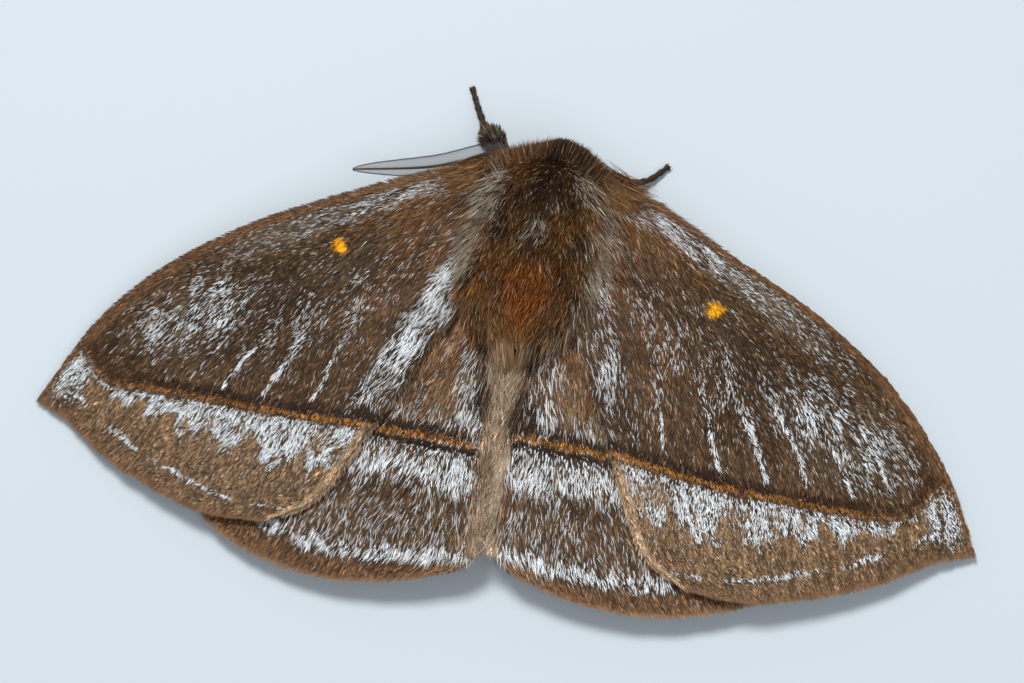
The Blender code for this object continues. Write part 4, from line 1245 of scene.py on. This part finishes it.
def tegula_hair(way, rng, count=1800):
    """The tuft that runs from the thorax's front corner out along the leading edge of a forewing."""
    share = rng.random(count)
    start = np.array((4.9, -3.9, 6.7)) + rng.normal(0, 1, (count, 3)) * np.array((0.6, 0.75, 0.3))
    reach = rng.uniform(2.4, 4.6, count)
    turn = np.radians(np.interp(share, (0, 0.35, 1), (2.0, 16.0, 62.0)) + rng.normal(0, 6, count))
    tip = start + np.stack((np.cos(turn) * reach, np.sin(turn) * reach, np.zeros(count)), -1)
    tip[:, 1] = np.maximum(tip[:, 1], -4.3 - rng.random(count) * 0.25)
    tip[:, 2] = np.maximum(wing_top(tip[:, 0], tip[:, 1]) - 1.6 * ease(tip[:, 1], -2.6, -4.3) + 0.25, 2.5)
    root, tip = start * np.array((way, 1, 1)), tip * np.array((way, 1, 1))
    path = draped(root, tip, rng.uniform(0.2, 0.5, count))
    streak = ripple(root[:, 0] * 2, root[:, 1] * 2, 1.2, 85)
    colour = tint(PALETTE["gold"] * 0.75, "umber", clamp(0.45 + 0.5 * streak))
    return path, rng.uniform(0.05, 0.09, count), hair_tones(colour, 0.05, rng, 0.42), around_places(root)


def wing_strands(wing, line, along, length, rise, turn, rng, seat=0.16):
    """Paths of long hairs rooted on a wing, which lie along its veins, turned aside by an angle."""
    point, ahead, beside, up = wing.pose(line, along)
    inner_way = np.sign(wing.surface(0.9, 0.5) - wing.surface(0.1, 0.5))
    facing = column(np.sign(np.einsum("ij,j->i", beside, inner_way)))
    turn = column(turn + rng.normal(0, 0.14, len(line)))
    lie = ahead * np.cos(turn) + beside * facing * np.sin(turn)
    bend = beside * column(rng.normal(0, 0.12, len(line)))
    length = column(length)
    start = point - up * seat
    steps = ((0.34, 0.8, 0.6, 0.10), (0.68, 1.0, 0.6, 0.28), (1.0, 0.7, 0.4, 0.5))
    path = [start]
    for far, high, lift, aside in steps:
        path.append(start + (lie * far + bend * aside) * length + up * (rise * high + seat * lift))
    return np.stack(path, 1)


def root_hair(wing, rng, count=7500):
    """Long hair over the forewing's root, which hides where wing and thorax meet."""
    line = rng.random(count) ** 0.9 * 0.95 + 0.03
    along = rng.beta(1.1, 2.4, count) * 0.34
    colour, white, _, _ = wing.marks(line, along)
    length = np.maximum(2.0 - 2.2 * along + rng.normal(0, 0.3, count), 0.9)
    path = wing_strands(wing, line, along, length, 0.28, rng.normal(0, 0.12, count), rng)
    gap = wing.look.shoulder.gap(path[:, 0, 0], path[:, 0, 1])
    bright = rng.random(count) < white * 0.6
    colour = tint(colour, "gold", (1 - ease(np.abs(line - 0.45), 0.1, 0.4)) * 0.32) * 0.92
    tones = hair_tones(colour, 0.50 * (1 - ease(gap, 0.4, 1.9)), rng, 0.50)
    tones = np.where(column(bright), PALETTE["white"] * column(rng.uniform(0.5, 0.95, count)), tones)
    return path, rng.uniform(0.042, 0.075, count), tones, np.stack((line * 0.45 + 0.02, along + 0.02), 1)


def costa_hair(wing, rng, count=2200):
    """Hair that widens the leading edge of the forewing close to the thorax."""
    along = rng.beta(1.0, 1.7, count) * 0.30
    line = rng.random(count) * 0.06 + 0.004
    narrow = 1 - 1.8 * along
    length = rng.uniform(1.2, 2.2, count) * narrow
    path = wing_strands(wing, line, along, length, 0.12, -wing.look.costa_fan * narrow, rng)
    colour = tint(PALETTE["brown"], "gold", rng.random(count) * 0.4, 0.8)
    width = rng.uniform(0.045, 0.075, count)
    return path, width, hair_tones(colour, 0.05, rng, 0.4), np.stack((0.9 + line * 0.1, along + 0.02), 1)


def midline_hair(wing, rng, count=3400):
    """Long pale hair along the inner margin of each hindwing, which covers the abdomen from above."""
    look = wing.look
    along = rng.random(count) ** 0.8 * 0.83 + 0.02
    line = 1 - rng.beta(1.0, 2.6, count) * np.interp(along, MIDDLE_STOPS, look.middle_reach) - 0.004
    length = rng.uniform(2.4, 4.0, count) * (1 - 0.45 * along)
    path = wing_strands(wing, line, along, length, 0.36, look.middle_turn, rng)
    x, y = path[:, 0, 0], path[:, 0, 1]
    strand = ripple(x * 3, y * 0.35, 1.7, 91)
    dim = np.clip(0.05 - 0.4 * strand + 0.75 * (rng.random(count) < 0.42), 0, 0.9)
    colour = tint(PALETTE["buff"] * 1.08, "umber", dim)
    colour = tint(colour, "rust", 0.25 * ease(y, 15, 10))
    colour = colour * look.middle_tone * column(np.exp(0.50 * ripple(x * 7, y * 0.8, 1.6, 92)))
    own, own_white, _, _ = wing.marks(line, along)
    wide = ease(np.abs(x), *look.middle_blend)
    colour = mix(colour, own, wide)
    white = np.where(rng.random(count) < wide, own_white, look.middle_white + 0.25 * strand)
    seen = (path[:, 1] + path[:, 2]) / 2
    black = dark_groove(look, np.abs(seen[:, 0]), seen[:, 1])
    colour = tint(colour, "border", 0.92 * black)
    width = rng.uniform(0.055, 0.09, count)
    tones = hair_tones(colour, white * (1 - black), rng, 0.55)
    return path, width, tones, np.stack((0.5 + line * 0.2, along * 0.9 + 0.02), 1)


def margin_hair(wing, rng, count=4000):
    """The pale hair fringe of the forewing's inner margin, lying over the hindwing."""
    along = rng.random(count) * 0.72 + 0.22
    line = 1 - rng.random(count) * 0.018 - 0.002
    length = rng.uniform(0.8, 1.5, count) * (1 - 0.35 * ease(along, 0.6, 0.95))
    path = wing_strands(wing, line, along, length, 0.02, 0.42, rng, seat=0.2)
    path[..., 2] -= np.array((0.0, 0.25, 0.5, 0.7)) * 0.45
    own, own_white, _, _ = wing.marks(line * 0.97, along)
    past = ease(along, 0.58, 0.68)
    colour = tint(PALETTE["buff"] * 1.15, "brown", rng.random(count) * 0.45)
    colour = mix(own, colour, clamp(0.35 + 0.65 * past))
    white = np.where(rng.random(count) < past, 0.12, own_white)
    width = rng.uniform(0.05, 0.085, count)
    tones = hair_tones(colour, white, rng, 0.30)
    return path, width, tones, np.stack((0.75 + line * 0.1, along * 0.9 + 0.02), 1)


def add_hair(name, parts, rng):
    """One coat of fine hair from several kinds."""
    path, width, tones, places = (np.concatenate(values) for values in zip(*parts))
    add_coat(name, blades(path, width, rng), tones, places, FUR_MAT, "coat", 0.05)


def main_body():
    rng = np.random.default_rng(41)
    points, faces = remeshed(*join(body_forms()), 0.26, 6)
    faces = outward(points, faces)
    colour, white, _ = body_marks(points)
    # The skin takes the fur's colours at under half their brightness: painted shade in the gaps between the
    # hairs.
    tones = tint(colour * 0.45, "grey", white * 0.2)
    skin = add_mesh("body_skin", points, faces, BODY_MAT, "coat", tones, around_places(points))
    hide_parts("thorax", "head", "abdomen")
    add_hair("fur_body", [body_hair(points, faces, rng)], rng)
    parts = [shoulder_hair(rng), collar_hair(rng), tegula_hair(1, rng), tegula_hair(-1, rng)]
    add_hair("fur_shoulders", parts, rng)


def main_long_hair():
    rng = np.random.default_rng(57)
    for side in SIDES:
        fore, hind = WINGS["fore", side], WINGS["hind", side]
        parts = [root_hair(fore, rng), costa_hair(fore, rng), midline_hair(hind, rng), margin_hair(fore, rng)]
        add_hair(f"long_hair_{side}", parts, rng)


# The feelers: a jointed shaft with two rows of fine rays.

ANTENNA_PATHS = {
    "left": ((0.4, -7.2, 5.2), (2.2, -7.2, 4.9), (5.4, -6.6, 4.6), (11.0, -4.75, 4.0), (18.8, -3.85, 3.0)),
    "right": ((-1.8, -7.3, 5.2), (-3.6, -6.8, 4.8), (-7.4, -4.4, 4.3), (-12.0, -0.9, 3.6), (-16.5, 2.0, 3.3)),
}
ANTENNA_JOINTS = 96
ANTENNA_BARE = {"left": 21, "right": 14}
RAY_LENGTH = 1.42
RAY_RADII = (0.042, 0.038, 0.034, 0.032, 0.036, 0.052, 0.042)
RAY_HAIRS = 4


def antenna(side):
    route = Curve(ANTENNA_PATHS[side])
    upright = np.array((0, 0, 1.0))
    at = np.linspace(0, 1, ANTENNA_JOINTS * 4 + 1)
    radii = np.interp(at, (0, 0.10, 0.3, 0.6, 1), (0.30, 0.25, 0.19, 0.13, 0.08))
    pieces = [tube(route(at), radii * (1 + 0.14 * np.cos(at * ANTENNA_JOINTS * 2 * math.pi)), 10)]
    shade = [np.tile(PALETTE["dark"] * 1.3, (len(pieces[0][0]), 1))]
    rng = np.random.default_rng(5)
    for i in range(ANTENNA_BARE[side], ANTENNA_JOINTS):
        share = i / ANTENNA_JOINTS
        grow = math.sin(math.pi * min(0.995, 0.16 + 0.845 * share)) ** 0.6
        centre = route(share)
        ahead = unit(route(min(1.0, share + 0.01)) - route(share - 0.01))
        across = unit(np.cross(ahead, upright))
        for way in (1, -1):
            front = across[1] * way < 0
            reach = RAY_LENGTH * grow * rng.uniform(0.97, 1.02) * (1.0 if front else 0.72)
            reach = reach * (0.55 if side == "right" and share < 0.55 else 1.0)
            tip = across * way * 0.80 + ahead * 0.36 + upright * (0.04 if front else -0.30)
            middle = centre + tip * reach * 0.5 + upright * 0.10 * reach
            end = centre + tip * reach
            path = Curve((centre, middle, end, end + ahead * 0.20 + tip * 0.04))(np.linspace(0, 1, 7))
            pieces.append(tube(path, RAY_RADII, 4))
            run = np.concatenate((np.repeat(np.linspace(0, 1, 7), 4), (0, 1)))
            shade.append(tint(PALETTE["grey"] * 0.36, "dark", ease(run, 0.55, 0.75), 0.4))
            for k in range(RAY_HAIRS):
                spot = path[0] + (end - path[0]) * (0.14 + 0.80 * k / RAY_HAIRS)
                for turn in (0.75, -0.75):
                    lie = unit(ahead * math.cos(turn) + upright * math.sin(turn))
                    hair = strands(np.array([[spot + lie * far for far in (0, 0.08, 0.15, 0.20)]]), [0.016])
                    pieces.append((hair[0], TUFT_FACES[5]))
                    shade.append(np.tile(PALETTE["grey"], (5, 1)))
    obj = add_mesh(f"feeler_{side}", *join(pieces), HORN_MAT, "antenna", np.concatenate(shade))
    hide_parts(f"antenna_{side}")


# The eyes: balls of raised facets.


def facet_ball(middle, radius, rounds=4, raised=0.02):
    """An icosphere whose coarser points are raised, so that each is the middle of a six-sided lens."""
    gold = (1 + math.sqrt(5)) / 2
    points = [(-1, gold, 0), (1, gold, 0), (-1, -gold, 0), (1, -gold, 0), (0, -1, gold), (0, 1, gold)]
    points += [(0, -1, -gold), (0, 1, -gold), (gold, 0, -1), (gold, 0, 1), (-gold, 0, -1), (-gold, 0, 1)]
    faces = [
        (0, 11, 5), (0, 5, 1), (0, 1, 7), (0, 7, 10), (0, 10, 11), (1, 5, 9), (5, 11, 4),
        (11, 10, 2), (10, 7, 6), (7, 1, 8), (3, 9, 4), (3, 4, 2), (3, 2, 6), (3, 6, 8),
        (3, 8, 9), (4, 9, 5), (2, 4, 11), (6, 2, 10), (8, 6, 7), (9, 8, 1),
    ]
    points = unit(np.array(points))
    faces = np.array(faces)
    for _ in range(rounds):
        coarse = len(points)
        edges = np.sort(np.concatenate((faces[:, :2], faces[:, 1:], faces[:, ::2])), 1)
        keys, back = np.unique(edges, axis=0, return_inverse=True)
        points = np.concatenate((points, unit(points[keys[:, 0]] + points[keys[:, 1]])))
        ab, bc, ca = back.reshape(3, -1) + coarse
        a, b, c = faces.T
        faces = triangles((a, ab, ca), (ab, b, bc), (ca, bc, c), (ab, bc, ca))
    lift = np.where(np.arange(len(points)) < coarse, 1.0 + raised, 1.0 - raised * 0.2)
    return points * column(lift) * radius + middle, faces


def main_eyes():
    mat = eye_material()
    for side, way in SIDES.items():
        points, faces = facet_ball(HEAD_MIDDLE + EYE_OUT * np.array((way, 1, 1)), EYE_RADIUS * 0.97)
        obj = add_mesh(f"lens_{side}", points, outward(points, faces), mat, "eye")
        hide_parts(f"eye_{side}")


# The legs: hairy femur and tibia, a jointed tarsus and two claws each. Their joints, from hip to claws.

LEGS = {
    "foreleg_left": (
        (1.8, -2.0, 4.2), (2.8, -5.2, 1.9), (5.2, -7.6, 2.9),
        (6.9, -9.5, 2.1), (8.3, -12.0, 0.9), (9.5, -14.6, 0.3),
    ),
    "foreleg_right": (
        (-1.8, -2.0, 4.6), (-2.6, -4.9, 2.2), (-4.6, -5.9, 2.8),
        (-6.6, -6.3, 1.7), (-8.6, -7.2, 0.7), (-10.3, -9.0, 0.3),
    ),
    "midleg_left": (
        (3.0, 1.5, 4.0), (4.6, 1.0, 1.9), (9.0, -0.4, 3.9),
        (13.0, 2.2, 2.0), (15.0, 3.6, 0.9), (17.6, 5.0, 0.3),
    ),
    "midleg_right": (
        (-3.0, 1.5, 4.0), (-4.6, 1.2, 1.9), (-8.6, 0.6, 3.9),
        (-12.2, 3.4, 2.0), (-14.0, 5.0, 0.9), (-16.4, 6.8, 0.3),
    ),
    "hindleg_left": (
        (2.4, 6.0, 4.0), (4.2, 7.6, 1.9), (7.4, 11.2, 3.4),
        (9.4, 16.0, 1.8), (10.4, 18.2, 0.8), (11.6, 21.2, 0.3),
    ),
    "hindleg_right": (
        (-2.4, 6.0, 4.0), (-4.2, 7.6, 1.9), (-7.8, 10.6, 3.4),
        (-10.2, 15.0, 1.8), (-11.4, 17.2, 0.8), (-12.9, 20.0, 0.3),
    ),
}
LEG_RADII = (0.62, 0.66, 0.56, 0.35, 0.27, 0.23)
TIBIA_BRUSH = {"foreleg_left": 1.5}
CLAW_BEND = ((0, 0.35, 0.10), (0.13, 0.6, 0.10), (0.24, 0.75, 0.02), (0.28, 0.68, -0.12))


def leg(name, joints, rng):
    """A limb with its hair. Returns its claws, which are joined to the others'."""
    reach = np.cumsum(np.linalg.norm(np.diff(np.array(joints), axis=0), axis=1))
    stops = np.concatenate(([0.0], reach)) / reach[-1]
    route = Curve(joints)
    at = np.linspace(0.0, 1.0, 110)
    foot = (at - stops[3]) / (1 - stops[3])
    knots = 0.05 * np.cos(clamp(foot) * 5 * 2 * math.pi) + 0.05 * ease(foot, 0.88, 1.0)
    radii = np.interp(at, stops, LEG_RADII) + np.where(foot > 0, knots, 0)
    path = route(at)
    path[:, 2] = np.maximum(path[:, 2], radii * 0.9 + 0.02)
    points, faces = tube(path, radii, 14)
    points[:, 2] = np.maximum(points[:, 2], 0.02)
    limb = add_mesh(f"limb_{name}", points, outward(points, faces), LEG_MAT, "leg", PALETTE["dark"] * 1.2)
    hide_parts(name)

    # The hair stands thickest and tallest in the tibia's brush.
    tibia = (stops[2] + stops[3]) / 2
    share = np.concatenate((rng.random(500), clamp(rng.normal(tibia, 0.065, 900))))
    count = len(share)
    run = unit(route(np.minimum(share + 0.01, 1)) - route(np.maximum(share - 0.01, 0)))
    beside, over = sideways(run)
    turn = rng.uniform(0, 2 * math.pi, count)
    out = beside * column(np.cos(turn)) + over * column(np.sin(turn))
    brush = np.exp(-(((share - tibia) / 0.09) ** 2))
    tall = 0.10 + 0.95 * brush * (TIBIA_BRUSH.get(name, 0.85) - 0.45)
    tall = out * column(tall * rng.uniform(0.7, 1.1, count))
    length = 0.35 + 0.45 * brush * rng.uniform(0.7, 1.2, count)
    length = run * column(length * (1 - 0.45 * ease(share, stops[3], stops[4])))
    root = route(share) + out * column(np.interp(share, at, radii) * 0.85)
    root[:, 2] = np.maximum(root[:, 2], 0.05)
    steps = ((0.0, 0.0), (0.3, 0.6), (0.65, 0.95), (1.0, 1.0))
    hair = np.stack([root + length * far + tall * high for far, high in steps], 1)
    tones = hair_tones(tint(PALETTE["ash"] * 0.42, "dark", rng.random(count) * 0.8), 0.03, rng, 0.3)
    points = strands(hair, rng.uniform(0.06, 0.09, count))
    add_coat(f"hair_{name}", points, tones, spread_places(turn / (2 * math.pi), share), FUR_MAT, "leg", 0.03)

    tip = route(1.0)
    ahead = unit((tip - route(0.96)) * np.array((1, 1, 0)))
    across = np.array((-ahead[1], ahead[0], 0)) * LEG_RADII[-1] * 1.3
    claws = []
    for way in (1, -1):
        bend = np.array([ahead * far + across * way * aside for far, aside, _ in CLAW_BEND])
        bend[:, 2] += [up for _, _, up in CLAW_BEND]
        path = Curve(tip + bend)(np.linspace(0, 1, 12))
        path[:, 2] = np.maximum(path[:, 2], 0.05)
        points, faces = tube(path, np.linspace(0.065, 0.015, 12), 7)
        points[:, 2] = np.maximum(points[:, 2], 0.01)
        claws.append((points, faces))
    return claws


def main_legs():
    rng = np.random.default_rng(77)
    claws = [claw for name, joints in LEGS.items() for claw in leg(name, joints, rng)]
    add_mesh("claws", *join(claws), HORN_MAT, "leg", PALETTE["dark"] * 0.6)


# The floor, the light and the camera.

FLOOR_REACH = 1.2
CAMERA_PLACE = np.array((-36.67, 91.88, 248.0))
CAMERA_RIGHT = (-0.9812, -0.1677, -0.0956)
CAMERA_BACK = (-0.1445, 0.3100, 0.9397)


def stage():
    floor = bpy.data.meshes.new("floor")
    corners = [(x * FLOOR_REACH, y * FLOOR_REACH, 0) for x, y in ((-1, -1), (1, -1), (1, 1), (-1, 1))]
    floor.from_pydata(corners, [], [(0, 1, 2, 3)])
    mat, tree, base = shader("pale_floor")
    feed(tree, base, Base_Color=(*FLOOR_COLOUR, 1), Roughness=0.9)
    floor.materials.append(mat)
    obj = bpy.data.objects.new("floor", floor)
    bpy.context.scene.collection.objects.link(obj)


def area_light(name, location, size, energy, colour):
    light = bpy.data.lights.new(name, "AREA")
    light.size, light.energy, light.color = size, energy, colour
    obj = bpy.data.objects.new(name, light)
    obj.location = location
    obj.rotation_euler = (-Vector(location)).to_track_quat("-Z", "Y").to_euler()
    bpy.context.scene.collection.objects.link(obj)


def lights():
    world = bpy.data.worlds.new("studio")
    bpy.context.scene.world = world
    world.use_nodes = True
    feed(world.node_tree, world.node_tree.nodes["Background"], Color=(0.93, 0.97, 1.0, 1), Strength=0.30)
    area_light("key", (0.10, -0.185, 0.475), 0.15, 2.35, (1.0, 0.99, 0.97))
    area_light("fill", (-0.20, 0.24, 0.42), 0.30, 0.80, (0.96, 0.98, 1.0))


def camera():
    data = bpy.data.cameras.new("camera")
    data.lens, data.sensor_width, data.clip_start = 100.0, 36.0, 0.005
    obj = bpy.data.objects.new("camera", data)
    back = Vector(CAMERA_BACK).normalized()
    right = Vector(CAMERA_RIGHT)
    right = (right - back * right.dot(back)).normalized()
    turn = Matrix((right, back.cross(right), back)).transposed()
    obj.matrix_world = Matrix.Translation(Vector((CAMERA_PLACE + SHIFT) * MM)) @ turn.to_4x4()
    bpy.context.scene.collection.objects.link(obj)
    bpy.context.scene.camera = obj


bpy.context.scene.view_settings.view_transform = "Standard"
bpy.context.scene.view_settings.look = "None"
camera()
lights()
stage()
for wing in WINGS.values():
    wing_skin(wing)
    wing_scales(wing)
for wing in WINGS.values():
    edge_fringe(wing)
    rim_fringe(wing)
    under_scales(wing)
main_body()
main_long_hair()
main_eyes()
for side_name in SIDES:
    antenna(side_name)
main_legs()
